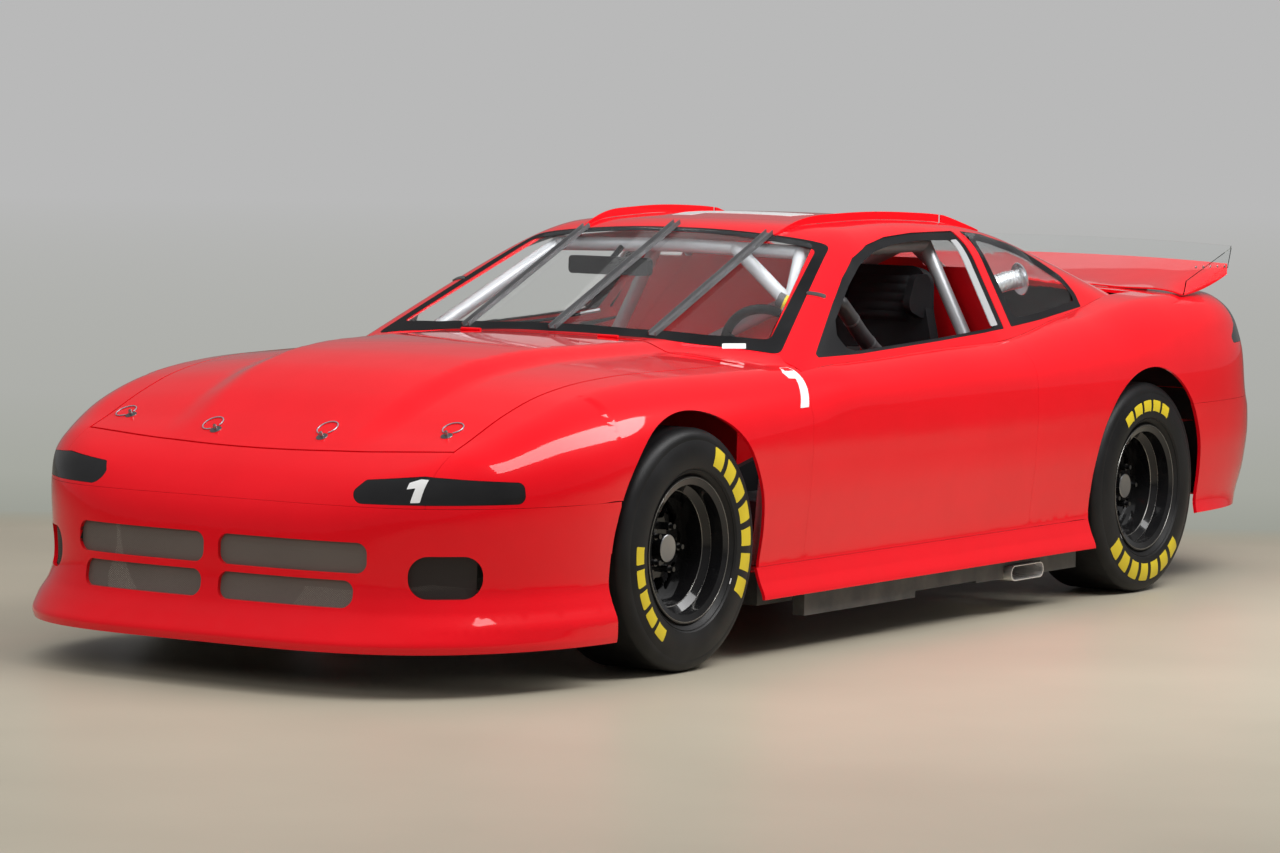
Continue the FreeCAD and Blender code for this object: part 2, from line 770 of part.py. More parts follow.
def make_door():
    grid = []
    for y in spread(DOOR_FRONT, DOOR_REAR, 10):
        low = side_point(y, SKIRT_TOP + SEAM)
        top = door_top(y)
        grid.append(fan(body_distance, V(top.x - 320, y, NOSE_SEAM - 70), low, top, 9))
    return panel(body_distance, grid)


def door_top(y):
    if y > CABIN_STATIONS[0]:
        return cabin_foot(y)
    return top_point(cabin_foot(CABIN_STATIONS[0]).x, y)


def make_quarter():
    grid = []
    corner = rear_point(DECK_HALF + LID_GAP, BUMPER_SEAM + SEAM)
    last = math.atan2(corner.x, corner.y - TAIL_ROUND_START)
    for y in spread(DOOR_REAR + SEAM, TAIL_ROUND_START, 9):
        rise = ease((y - WHEELBASE + 250) / 300)
        low = side_point(y, SKIRT_TOP + SEAM + (BUMPER_SEAM - SKIRT_TOP) * rise)
        top = quarter_top(y)
        grid.append(fan(body_distance, V(top.x - 320, y, NOSE_SEAM - 40), low, top, 9))
    for t in spread(0, 1, 8)[1:]:
        low = tail_point(math.pi / 2 + (last - math.pi / 2) * t, BUMPER_SEAM + SEAM)
        y = TAIL_ROUND_START + (DECK_REAR + LID_GAP - TAIL_ROUND_START) * t
        top = quarter_top(y)
        x = top.x - 320 * (1 - ease(t))
        centre = V(x, top.y - 170 * t, BUMPER_SEAM - 70)
        grid.append(fan(body_distance, centre, low, top, 9))
    return panel(body_distance, grid).cut(rear_arch())


def quarter_top(y):
    foot = cabin_foot(y)
    if foot.x > DECK_HALF + LID_GAP:
        return foot
    return top_point(DECK_HALF + LID_GAP, y)


def make_tail_panel():
    """Upright panel between the quarters, under the deck lid."""
    grid = []
    for s in spread(-1, 1, 9):
        x = s * (DECK_HALF + LID_GAP - SEAM)
        top = top_point(x, deck_rear(x) + LID_GAP)
        low = rear_point(x, BUMPER_SEAM + SEAM)
        centre = V(x, top.y - 170, BUMPER_SEAM - 70)
        grid.append(fan(body_distance, centre, low, top, 7))
    return panel(body_distance, grid)


def make_deck_lid():
    grid = []
    for t in spread(0, 1, 8):
        row = []
        for x in spread(-DECK_HALF, DECK_HALF, 9):
            row.append(top_point(x, DECK_FRONT + (deck_rear(x) - DECK_FRONT) * t))
        grid.append(row)
    return panel(body_distance, grid)


def deck_rear(x):
    return DECK_REAR + TAIL_BOW * (1 - (x / DECK_HALF) ** 2)


def make_deck_bridge():
    """Fixed strip under the backlight, ahead of the deck lid."""
    grid = []
    for y in spread(DECK_BRIDGE_FRONT, DECK_FRONT - LID_GAP, 4):
        grid.append([top_point(s * (DECK_HALF + LID_GAP - SEAM), y) for s in spread(-1, 1, 9)])
    return panel(body_distance, grid).fuse(hinge_barrels(DECK_FRONT - LID_GAP / 2, 0))


def make_cowl():
    """Fixed strip between the hood and the windshield, with a shoulder at each end."""
    strip = []
    for x in spread(-(HOOD_HALF_REAR - SEAM), HOOD_HALF_REAR - SEAM, 13):
        strip.append([top_point(x, y) for y in spread(HOOD_REAR + LID_GAP, screen_base(x) - SEAM, 4)])
    inner_x = HOOD_HALF_REAR + SEAM
    outer_x = door_top(DOOR_FRONT).x - 3 * SEAM
    ear = []
    for x in spread(inner_x, outer_x, 5):
        rear = min(screen_base(x), CABIN_STATIONS[0]) - SEAM
        ear.append([top_point(x, y) for y in spread(DOOR_FRONT + SEAM, rear, 4)])
    centre = panel(body_distance, strip)
    barrels = hinge_barrels(HOOD_REAR + LID_GAP / 2, 0)
    return centre.fuse(barrels), panel(body_distance, ear)


def hinge_barrels(y, grow):
    """Two short barrels on the hinge line of a lid, level with its highest point."""
    z = top_point(0, y).z
    return [rod(V(x - HINGE_HALF - grow, y, z), V(x + HINGE_HALF + grow, y, z), HINGE_RADIUS + grow)
            for x in (-HINGE_X, HINGE_X)]


def screen_base(x):
    """Where the windshield surface comes down to the body."""
    y = SCREEN_FOOT_Y + SCREEN_SWEEP * x * x
    for _ in range(4):
        y = screen_y(x, top_point(x, y).z)
    return y


def make_rear_bumper():
    grid = []
    for z in (TAIL_BOTTOM, 270, 310, 370, 440, 510, 560, BUMPER_SEAM):
        edge = side_point(TAIL_ARCH_EDGE - 90, z)
        last = math.atan2(edge.x, edge.y - TAIL_ROUND_START)
        grid.append([tail_point(last * s, z) for s in spread(-1, 1, 23)])
    shape = panel(body_distance, grid, BUMPER_SKIN)
    for arch in both(rear_arch()):
        shape = shape.cut(arch)
    return shape


def make_skirt():
    """Flared skirt below the door, between the wheels."""
    grid = []
    for y in spread(ARCH_REAR_EDGE, SKIRT_REAR_EDGE, 7):
        row = []
        for t in spread(0, 1, 5):
            z = SKIRT_BOTTOM + (SKIRT_TOP - SKIRT_BOTTOM) * t
            p = side_point(y, z)
            row.append(p)
        grid.append(row)
    return panel(body_distance, grid)


# ---- cabin ----------------------------------------------------------------

def cabin_corner_angle(y):
    """Angle, from a point low in the cabin, of the edge between its side and its top."""
    low = 0.0
    high = math.pi / 2
    for _ in range(30):
        angle = (low + high) / 2
        way = V(math.cos(angle), 0, math.sin(angle))
        p = surface_point(cabin_distance, V(0, y, CABIN_CENTRE_Z), way)
        aside = (p.x - cabin_half(p.y, p.z)) / math.hypot(1, CABIN_LEAN)
        roof = smooth(ROOF_Y, ROOF_HEIGHT, y) - ROOF_DROP * (p.x / 500) ** 2.2
        ahead = (screen_y(p.x, p.z) - y) * SCREEN_SLOPE / math.hypot(1, SCREEN_SLOPE)
        if aside > max((p.z - roof) * 0.96, ahead):
            low = angle
        else:
            high = angle
    return low


def cabin_section(y):
    """Points over the cabin at one station, from its foot on one side to the other."""
    foot = cabin_foot(y)
    half = []
    start = math.atan2(foot.z + SEAM - CABIN_CENTRE_Z, foot.x)
    corner = max(cabin_corner_angle(y), start + 0.02)
    for t in (0.0, 0.2, 0.4, 0.6, 0.78, 0.91, 1.0):
        half.append(start + (corner - start) * t)
    for t in (0.09, 0.22, 0.38, 0.56, 0.78):
        half.append(corner + (math.pi / 2 - corner) * t)
    angles = half + [math.pi / 2] + [math.pi - angle for angle in reversed(half)]
    centre = V(0, y, CABIN_CENTRE_Z)
    return [surface_point(cabin_distance, centre, V(math.cos(a), 0, math.sin(a))) for a in angles]


def make_roof_shell():
    grid = [cabin_section(y) for y in CABIN_STATIONS]
    shape = panel(cabin_distance, grid, SKIN)
    shape = shape.cut(screen_prism(0))
    shape = shape.cut(backlight_prism(0))
    for window in both(side_window_prism(DRIVER_WINDOW, 0)) + both(side_window_prism(QUARTER_WINDOW, 0)):
        shape = shape.cut(window)
    return shape


def screen_prism(grow):
    """Windshield opening between the pillars, pushed straight up through the cabin."""
    half_low = SCREEN_HALF_LOW + grow
    half_high = SCREEN_HALF_HIGH + grow
    corners = [V(-half_low, SCREEN_FOOT_Y - 120, 700), V(half_low, SCREEN_FOOT_Y - 120, 700),
               V(half_low, CABIN_STATIONS[0], 700),
               V(half_high, SCREEN_HIGH_Y + grow + 22, 700), V(0, SCREEN_HIGH_Y + grow, 700),
               V(-half_high, SCREEN_HIGH_Y + grow + 22, 700), V(-half_low, CABIN_STATIONS[0], 700)]
    return prism(corners, 30.0, Z_AXIS * 700)


def backlight_prism(grow):
    half_high = BACKLIGHT_HALF_HIGH + grow
    half_low = BACKLIGHT_HALF_LOW + grow
    corners = [V(-half_high, BACKLIGHT_HIGH_Y - grow, 700), V(half_high, BACKLIGHT_HIGH_Y - grow, 700),
               V(half_low, BACKLIGHT_LOW_Y + grow, 700), V(-half_low, BACKLIGHT_LOW_Y + grow, 700)]
    return prism(corners, 45.0, Z_AXIS * 700)


def side_window_prism(outline, grow):
    corners = [V(300, y, z) for y, z in grown(outline, grow)]
    return prism(corners, SIDE_WINDOW_ROUND + grow, X_AXIS * 600)


def cabin_grid(y0, y1, x0, x1, rows, count, centre_z=760.0):
    """Grid of cabin surface points straight above a plan rectangle."""
    grid = []
    for y in spread(y0, y1, rows):
        grid.append([surface_point(cabin_distance, V(x, y, centre_z), Z_AXIS, 700.0)
                     for x in spread(x0, x1, count)])
    return grid


def make_windshield():
    half = SCREEN_HALF_LOW + 8
    grid = []
    for s in spread(-1, 1, 13):
        row = []
        for t in spread(0, 1, 7):
            x = s * (half + (SCREEN_HALF_HIGH - SCREEN_HALF_LOW) * t)
            low = screen_base(x) + SEAM
            y = low + (SCREEN_HIGH_Y + 40 - low) * t
            row.append(V(x, y, screen_height(x, y)))
        grid.append(row)
    inner = [[p - screen_normal(p.x) * GLASS for p in row] for row in grid]
    return skin_between(grid, inner).common(screen_prism(-SEAM))


def screen_height(x, y):
    return SCREEN_FOOT_Z + (y - SCREEN_FOOT_Y - SCREEN_SWEEP * x * x) * SCREEN_SLOPE


def screen_normal(x):
    return V(2 * SCREEN_SWEEP * x * SCREEN_SLOPE, -SCREEN_SLOPE, 1).normalize()


def make_backlight():
    grid = cabin_grid(BACKLIGHT_HIGH_Y - 20, BACKLIGHT_LOW_Y + 20, -540, 540, 6, 7)
    return panel(cabin_distance, grid, GLASS).common(backlight_prism(-SEAM))


def make_quarter_window():
    grid = []
    for y in spread(1880, 2620, 6):
        grid.append([surface_point(cabin_distance, V(0, y, z), X_AXIS) for z in spread(900, 1190, 5)])
    return panel(cabin_distance, grid, GLASS).common(side_window_prism(QUARTER_WINDOW, -SEAM))


def make_straps():
    """Three channels that hold the windshield down."""
    straps = []
    for x in (-STRAP_X, 0.0, STRAP_X):
        foot_y = screen_base(x) + 18
        top_y = SCREEN_HIGH_Y + 22
        a = V(x, foot_y, screen_height(x, foot_y)) + screen_normal(x) * 0.5
        b = V(x, top_y, screen_height(x, top_y)) + screen_normal(x) * 0.5
        along = (b - a).normalize()
        up = screen_normal(x)
        side = along.cross(up)
        web = channel(a, along, up, side, (b - a).Length)
        straps.append(web)
    return Part.makeCompound(straps)


def channel(start, along, up, side, length):
    """Channel section with its open side up."""
    outline = [(-13, 0), (13, 0), (13, 14), (10, 14), (10, 3), (-10, 3), (-10, 14), (-13, 14)]
    corners = [start + side * s + up * h for s, h in outline]
    wire = Part.makePolygon(corners + [corners[0]])
    return Part.Face(wire).extrude(along * length)


def make_roof_strips():
    """Upright strips along the roof's edges, in two lengths on each side."""
    strips = []
    for y0, y1, lift in ROOF_STRIPS:
        upper = []
        lower = []
        for y in spread(y0, y1, 13):
            x = STRIP_X_FRONT + (STRIP_X_REAR - STRIP_X_FRONT) * (y - ROOF_STRIPS[0][0]) / STRIP_RUN
            z = surface_point(cabin_distance, V(x, y, 760), Z_AXIS, 700.0).z
            from_end = y - y0 if y0 < HOOP_Y else y1 - y
            upper.append(V(x, y, z + STRIP_HEIGHT * min(1.0, 0.25 + from_end / 260)))
            lower.append(V(x, y, z + lift))
        curves = []
        for points in (upper, lower):
            curve = Part.BSplineCurve()
            curve.interpolate(points)
            curves.append(curve.toShape())
        face = Part.makeRuledSurface(curves[0], curves[1])
        strips.append(face.extrude(X_AXIS * 4))
    return strips


def make_mirror():
    """Rear-view mirror on a stalk that hangs from the cage's halo."""
    y = HALO_Y - TUBE - 70
    back = prism([V(MIRROR_X - MIRROR_HALF, y, MIRROR_Z - 28), V(MIRROR_X + MIRROR_HALF, y, MIRROR_Z - 28),
                  V(MIRROR_X + MIRROR_HALF, y, MIRROR_Z + 28), V(MIRROR_X - MIRROR_HALF, y, MIRROR_Z + 28)],
                 14.0, Y_AXIS * 26)
    stalk = rod(V(MIRROR_X, y + 20, MIRROR_Z + 20), V(MIRROR_X, HALO_Y, CAGE_TOP - 21), 9)
    return back.fuse(stalk).cut(make_roll_cage(TUBE + SEAT))


def make_headlamps():
    grid = []
    for z in (488, 520, 552, 584, 612):
        grid.append([nose_point(math.radians(a), z) for a in spread(24, 74, 11)])
    cover = panel(body_distance, grid, SKIN).common(headlamp_prism(-SEAM))
    return cover


def headlamp_prism(grow):
    way = V(LAMP_WAY_X, -LAMP_WAY_Y, 0)
    return lamp_outline(HEADLAMP, grow, 22.0, way, V(0, 0, 0))


def fog_prism(grow):
    way = V(LAMP_WAY_X, -LAMP_WAY_Y, 0)
    return lamp_outline(FOG_OPENING, grow, FOG_ROUND, way, V(0, 0, 0))


def tail_lamp_prism(grow):
    way = V(TAIL_LAMP_WAY_X, TAIL_LAMP_WAY_Y, 0)
    return lamp_outline(TAIL_LAMP, grow, 14.0, way, V(0, TAIL_LAMP_ORIGIN_Y, 0))


def make_tail_lamps():
    grid = []
    for rise in (168, 194, 224, 254, 284, 312, 345):
        grid.append([tail_point(math.radians(a), BUMPER_SEAM + rise) for a in spread(17, 74, 15)])
    return panel(body_distance, grid, SKIN).common(tail_lamp_prism(-SEAM))


def grille_prisms(grow):
    shapes = []
    for x0, x1, z0, z1 in GRILLE_OPENINGS:
        corners = [V(x0 - grow, -1300, z0 - grow), V(x1 + grow, -1300, z0 - grow),
                   V(x1 + grow, -1300, z1 + grow), V(x0 - grow, -1300, z1 + grow)]
        shapes += both(prism(corners, 30.0, Y_AXIS * 1000))
    return shapes


def make_grille_mesh():
    """Mesh panel that stands just behind the grille openings."""
    grid = []
    for z in (212, 250, 300, 350, 400, 432):
        row = []
        for s in spread(-1, 1, 13):
            p = front_point(s * 540, z)
            row.append(inward(body_distance, p, BUMPER_SKIN + 0.6))
        grid.append(row)
    inner = [[p + Y_AXIS * 4 for p in row] for row in grid]
    mesh = skin_between(grid, inner)
    fogs = []
    for s in (-1, 1):
        patch = []
        for z in spread(246, 392, 5):
            row = []
            for a in spread(34, 58, 6):
                p = inward(body_distance, nose_point(math.radians(a * s), z), BUMPER_SKIN + 0.6)
                row.append(p)
            patch.append(row)
        back = [[p + V(-3 * s, 3, 0) for p in row] for row in patch]
        fogs.append(skin_between(patch, back))
    return Part.makeCompound([mesh] + fogs)


def spoiler_edges(x):
    """Front and rear of the wing at a distance from the centre line."""
    t = (x / SPOILER_HALF) ** 2
    return SPOILER_FRONT_Y - SPOILER_FRONT_SWEEP * t, SPOILER_REAR_Y - SPOILER_SWEEP * t


def spoiler_faces(x, y):
    """Heights of the wing's lower and upper faces."""
    front, rear = spoiler_edges(x)
    t = min(1.0, max(0.0, (y - front) / (rear - front)))
    foot = top_point(x, front).z + SPOILER_SEAT + LID_GAP * ease((abs(x) - 600) / 40)
    top = SPOILER_HEIGHT - SPOILER_DROOP * (x / SPOILER_HALF) ** 2
    low = foot + (top - SPOILER_DEPTH - foot) * t ** 1.7
    high = foot + SPOILER_LIP + (top - foot - SPOILER_LIP) * t ** 1.35
    return low, high


def make_spoiler():
    """Wing moulded across the tail, thin at its foot and deep at its rear edge, on three ribs."""
    lower = []
    upper = []
    for x in spread(-SPOILER_HALF, SPOILER_HALF, 15):
        front, rear = spoiler_edges(x)
        places = spread(front, rear, 7)
        lower.append([V(x, y, spoiler_faces(x, y)[0]) for y in places])
        upper.append([V(x, y, spoiler_faces(x, y)[1]) for y in places])
    ribs = []
    for x in SPOILER_RIBS:
        front, rear = spoiler_edges(x)
        places = spread(front + 150, deck_rear(x) - 14, 7)
        seat = min(abs(x - RIB_HALF), abs(x + RIB_HALF))
        edge = [V(x - RIB_HALF, y, top_point(seat, y).z + 0.8) for y in places]
        edge += [V(x - RIB_HALF, y, sum(spoiler_faces(x, y)) / 2) for y in reversed(places)]
        ribs.append(Part.Face(Part.makePolygon(edge + [edge[0]])).extrude(X_AXIS * 2 * RIB_HALF))
    return fused([skin_between(upper, lower)] + ribs)


def make_spoiler_blade():
    """Clear blade behind the wing's rear edge, and a clear fence on each end."""
    grid = []
    for x in spread(-SPOILER_HALF, SPOILER_HALF, 11):
        rear = spoiler_edges(x)[1]
        z = spoiler_faces(x, rear)[1]
        grid.append([V(x, rear + SEAT + BLADE_LEAN * t, z - 16 + BLADE_HEIGHT * t) for t in spread(0, 1, 4)])
    back = [[p + Y_AXIS * 5 for p in row] for row in grid]
    front, rear = spoiler_edges(SPOILER_HALF)
    low_front = spoiler_faces(SPOILER_HALF, front + 12)[0]
    low_rear = spoiler_faces(SPOILER_HALF, rear)[0]
    x = SPOILER_HALF + SEAT
    fence = [V(x, front + 12, low_front + 2), V(x, rear, low_rear + 2),
             V(x, rear + BLADE_LEAN, low_rear + FENCE_REAR_HEIGHT), V(x, front + 30, low_front + FENCE_FRONT_HEIGHT)]
    plate = Part.Face(Part.makePolygon(fence + [fence[0]])).extrude(X_AXIS * 4)
    return Part.makeCompound([skin_between(grid, back)] + both(plate))


# ---- chassis --------------------------------------------------------------

def rail_boxes(grow):
    """Box sections of the frame: side rails, front snout, rear rails and cross members."""
    spans = []
    for s in (-1, 1):
        side = s * RAIL_X
        snout = s * SNOUT_X
        tail = s * TAIL_RAIL_X
        half = RAIL_HALF
        spans.append((side - half, side + half, RAIL_FRONT, RAIL_REAR, RAIL_BOTTOM, FLOOR_Z))
        spans.append((snout - half, snout + half, SNOUT_FRONT, RAIL_FRONT + 60, SNOUT_BOTTOM, SNOUT_TOP))
        spans.append((tail - half, tail + half, RAIL_REAR - 80, DECK_REAR + 60, TAIL_RAIL_Z, TAIL_RAIL_Z + 80))
        spans.append((min(side, snout) - half, max(side, snout) + half, RAIL_FRONT, RAIL_FRONT + 60, 160, FLOOR_Z))
        spans.append((snout - half, snout + half, RAIL_FRONT, RAIL_FRONT + 60, 160, SNOUT_TOP))
        spans.append((min(side, tail) - half, max(side, tail) + half, RAIL_REAR - 60, RAIL_REAR, RAIL_BOTTOM, FLOOR_Z))
        spans.append((tail - half, tail + half, RAIL_REAR - 60, RAIL_REAR, RAIL_BOTTOM, TAIL_RAIL_Z + 80))
        spans.append((snout - half, snout + half, -60, 60, 190, SNOUT_TOP))
        spans.append((snout - half, snout + half, -100, 100, SNOUT_TOP, AXLE_HEIGHT + 150))
    spans.append((-SNOUT_X, SNOUT_X, -60, 60, 190, 240))
    spans.append((-SNOUT_X, SNOUT_X, SNOUT_FRONT, SNOUT_FRONT + 60, SNOUT_BOTTOM, SNOUT_TOP))
    spans.append((-TAIL_RAIL_X, TAIL_RAIL_X, DECK_REAR, DECK_REAR + 60, TAIL_RAIL_Z, TAIL_RAIL_Z + 80))
    spans.append((-RAIL_X, RAIL_X, ARM_MOUNT_Y - 30, ARM_MOUNT_Y + 30, 187, FLOOR_Z))
    g = grow
    return [box(a - g, b + g, c - g, d + g, e - g, f + g) for a, b, c, d, e, f in spans]


def make_frame_rails():
    return without(fused(rail_boxes(0)), both(pipe_notch(168)))


def make_side_rails():
    """Stepped grey rails that show below the skirts."""
    inner = SIDE_RAIL_X - SIDE_RAIL_WIDTH
    ends = (SIDE_RAIL_FRONT,) + SIDE_RAIL_STEPS + (SIDE_RAIL_REAR,)
    shapes = [box(RAIL_X + RAIL_HALF + 0.5, SIDE_RAIL_X, SIDE_RAIL_FRONT + 20, SIDE_RAIL_REAR - 20,
                  SKIRT_BOTTOM - 6, SKIRT_BOTTOM)]
    for start, end, bottom in zip(ends, ends[1:], SIDE_RAIL_BOTTOMS):
        shapes.append(box(inner, SIDE_RAIL_X, start, end, bottom, SKIRT_BOTTOM))
    rail = fused(shapes).cut(pipe_notch(PIPE_TOP + SEAT))
    lugs = [box(inner + 10, SIDE_RAIL_X + 46, y, y + 60, SKIRT_BOTTOM, SKIRT_BOTTOM + 54) for y in SIDE_RAIL_LUGS]
    return both(fused([rail] + lugs).cut(make_skirt_block()))


def pipe_notch(top):
    """Room for the left exhaust outlet under the frame and the side rail."""
    return box(600, 1000, PIPE_Y - 118, PIPE_Y + 118, 60, top)


def make_skirt_block():
    """The skirts' inner side with a seat gap, taken out of what bolts to them."""
    grid = []
    for y in spread(ARCH_REAR_EDGE, SKIRT_REAR_EDGE, 5):
        row = []
        for z in spread(SKIRT_BOTTOM - 30, SKIRT_TOP + 10, 6):
            row.append(inward(body_distance, side_point(y, z), SKIN + 0.5))
        grid.append(row)
    outer = [[p + V(60, 0, 0) for p in row] for row in grid]
    return skin_between(outer, grid)


def make_floor_pan():
    floor = box(-RAIL_X - RAIL_HALF, RAIL_X + RAIL_HALF, FIREWALL_Y, FLOOR_REAR + 4, FLOOR_Z + 0.3, FLOOR_Z + 4)
    wall = box(-700, 700, FIREWALL_Y, FIREWALL_Y + 3, FLOOR_Z + 0.3, 800)
    rear_wall = box(-700, 700, FLOOR_REAR, FLOOR_REAR + 4, FLOOR_Z + 0.3, 600)
    shelf = box(-600, 600, FLOOR_REAR, DECK_REAR + 60, TAIL_RAIL_Z + 80.4, TAIL_RAIL_Z + 84)
    tunnel = box(-TUNNEL_HALF - 4, TUNNEL_HALF + 4, FIREWALL_Y, FLOOR_REAR + 4, FLOOR_Z + 0.3, TUNNEL_Z + 4)
    bore = box(-TUNNEL_HALF, TUNNEL_HALF, FIREWALL_Y - 10, FLOOR_REAR + 10, FLOOR_Z - 10, TUNNEL_Z)
    pan = fused([floor, wall, rear_wall, shelf, tunnel]).cut(bore)
    for rail in rail_boxes(0.3):
        pan = pan.cut(rail)
    return pan


def make_roll_cage(radius=TUBE):
    """Main hoop, halo, front legs, door bars, rear stays and cross bars."""
    runs = []
    for s in (-1, 1):
        hoop_foot = V(s * (CAGE_HALF + 6), HOOP_Y, CAGE_FOOT)
        hoop_knee = V(s * CAGE_HALF, HOOP_Y, CAGE_KNEE)
        hoop_shoulder = V(s * 500, HOOP_Y, CAGE_TOP - 12)
        halo_corner = V(s * 452, HALO_Y, CAGE_TOP - 28)
        leg_knee = V(s * (CAGE_HALF - 14), 800, CAGE_KNEE + 22)
        leg_foot = V(s * CAGE_HALF, 690, CAGE_FOOT)
        runs.append([hoop_foot, hoop_knee, hoop_shoulder, V(0, HOOP_Y, CAGE_TOP)])
        runs.append([hoop_shoulder, halo_corner, V(0, HALO_Y, CAGE_TOP - 18)])
        runs.append([halo_corner, leg_knee, leg_foot])
        for z in DOOR_BARS:
            back = hoop_foot + (hoop_knee - hoop_foot) * ((z - CAGE_FOOT) / (hoop_knee.z - CAGE_FOOT))
            front = leg_foot + (leg_knee - leg_foot) * ((z - CAGE_FOOT) / (leg_knee.z - CAGE_FOOT))
            runs.append([back, V(s * (CAGE_HALF + 22), 1320, z), front])
        runs.append([V(s * 455, HOOP_Y, CAGE_TOP - 10), V(s * TAIL_RAIL_X, WHEELBASE + 457, TAIL_RAIL_Z + 70)])
    runs.append([V(-CAGE_HALF - 2, HOOP_Y, 600), V(CAGE_HALF + 2, HOOP_Y, 600)])
    runs.append([V(-CAGE_HALF + 16, 790, 735), V(CAGE_HALF - 16, 790, 735)])
    runs.append([V(420, HOOP_Y, CAGE_TOP - 14), V(-CAGE_HALF, HOOP_Y, 620)])
    runs.append([V(215, HALO_Y, CAGE_TOP - 22), V(570, 1050, 980)])
    shapes = [pipe_run(points, radius) for points in runs]
    cage = shapes[0].fuse(shapes[1:])
    cage = cage.cut(box(-900, 900, 0, FLOOR_REAR + 100, 0, FLOOR_Z + 4.3))
    return cage.cut(box(-900, 900, FLOOR_REAR + 100, DECK_REAR + 400, 0, TAIL_RAIL_Z + 84.4))


def make_interior_panels():
    """Sheet wall behind the seat, fitted round the main hoop's feet and the bars behind it."""
    y = FLOOR_REAR - 26
    corners = [V(-SHEET_HALF, y, FLOOR_Z + 4.4), V(SHEET_HALF, y, FLOOR_Z + 4.4), V(SHEET_HALF, y, CAGE_KNEE - 20),
               V(470, y, SHEET_TOP), V(-470, y, SHEET_TOP), V(-SHEET_HALF, y, CAGE_KNEE - 20)]
    sheet = Part.Face(Part.makePolygon(corners + [corners[0]])).extrude(Y_AXIS * 3)
    tunnel = box(-TUNNEL_HALF - 4.4, TUNNEL_HALF + 4.4, y - 10, y + 10, FLOOR_Z, TUNNEL_Z + 4.4)
    return sheet.cut(tunnel).cut(make_roll_cage(TUBE + 1.5))


def make_seat():
    """High-backed racing seat: shell with side bolsters, head rest wings and harness slots."""
    leaned = []
    outline = [V(-205, 0, SEAT_Z), V(205, 0, SEAT_Z), V(235, 0, SEAT_Z + 440), V(172, 0, SEAT_Z + 640),
               V(158, 0, SEAT_TOP), V(-158, 0, SEAT_TOP), V(-172, 0, SEAT_Z + 640), V(-235, 0, SEAT_Z + 440)]
    leaned.append(prism(outline, 58.0, Y_AXIS * SEAT_BACK))
    for s in (-1, 1):
        x = min(s * 205, s * 235)
        bolster = [V(x, 20, SEAT_Z + 60), V(x, 20, SEAT_Z + 480), V(x, -90, SEAT_Z + 440), V(x, -120, SEAT_Z + 120)]
        leaned.append(prism(bolster, 40.0, X_AXIS * 30))
        x = min(s * 148, s * 172)
        wing = [V(x, 20, SEAT_Z + 600), V(x, 20, SEAT_TOP - 20), V(x, -80, SEAT_TOP - 40), V(x, -110, SEAT_Z + 620)]
        leaned.append(prism(wing, 34.0, X_AXIS * 24))
    back = fused(leaned)
    for s in (-1, 1):
        back = back.cut(box(s * 62 - 34, s * 62 + 34, -20, 90, SEAT_Z + 478, SEAT_Z + 510))
    back = back.rotated(V(0, 0, SEAT_Z), X_AXIS, -SEAT_LEAN).translated(V(SEAT_X, SEAT_Y, 0))
    shapes = [back, box(SEAT_X - 210, SEAT_X + 210, SEAT_Y - 470, SEAT_Y + 40, SEAT_Z - 20, SEAT_Z + 40)]
    for s in (-1, 1):
        x = SEAT_X + min(s * 210, s * 235)
        side = [V(x, SEAT_Y - 470, SEAT_Z - 50), V(x, SEAT_Y + 60, SEAT_Z - 50), V(x, SEAT_Y + 60, SEAT_Z + 190),
                V(x, SEAT_Y - 60, SEAT_Z + 200), V(x, SEAT_Y - 470, SEAT_Z + 110)]
        shapes.append(prism(side, 36.0, X_AXIS * 25))
    shapes.append(box(SEAT_X - 180, SEAT_X + 180, SEAT_Y - 400, SEAT_Y - 50, FLOOR_Z + 4, SEAT_Z - 20))
    return fused(shapes)


def make_dashboard():
    """Panel across the cabin under the windshield, with a lip along its rear edge."""
    x = -DASH_HALF
    profile = [V(x, DASH_FRONT, DASH_TOP), V(x, DASH_REAR, DASH_TOP - 20), V(x, DASH_REAR, DASH_BOTTOM),
               V(x, DASH_REAR - 15, DASH_BOTTOM), V(x, DASH_REAR - 15, DASH_TOP - 35), V(x, DASH_FRONT, DASH_TOP - 15)]
    dash = Part.Face(Part.makePolygon(profile + [profile[0]])).extrude(X_AXIS * 2 * DASH_HALF)
    a, b = column_ends()
    return dash.cut(rod(a, b, COLUMN_RADIUS + 0.5))


def column_ends():
    """Line of the steering column, from the firewall to the wheel's boss."""
    way = V(0, math.cos(WHEEL_TILT), math.sin(WHEEL_TILT))
    boss = V(SEAT_X, WHEEL_Y, WHEEL_Z) - way * 40
    length = (boss.y - FIREWALL_Y + 60) / math.cos(WHEEL_TILT)
    return boss - way * length, boss


def make_steering_column():
    a, b = column_ends()
    way = (b - a).normalize()
    tube = rod(a, b, COLUMN_RADIUS)
    collar = rod(b - way * 60, b - way * 20, 30)
    return fused([tube, collar]).cut(box(-900, 900, 0, FIREWALL_Y + 3.3, 0, 900))


def make_steering_wheel():
    """Three-spoke dished wheel, made about +Z and turned onto the column's axis."""
    rim = Part.makeTorus(172, 15, V(0, 0, 0), Z_AXIS)
    boss = Part.makeCylinder(34, 26, V(0, 0, -39.4))
    plate = Part.makeCylinder(60, 5, V(0, 0, -14))
    spokes = []
    for angle in (90, 210, 330):
        spoke = box(0, 168, -14, 14, -13, -9)
        spokes.append(spoke.rotated(V(0, 0, 0), Z_AXIS, angle))
    shape = fused([rim, boss, plate] + spokes)
    shape = shape.rotated(V(0, 0, 0), X_AXIS, -(90 - math.degrees(WHEEL_TILT)))
    return shape.translated(V(SEAT_X, WHEEL_Y, WHEEL_Z))


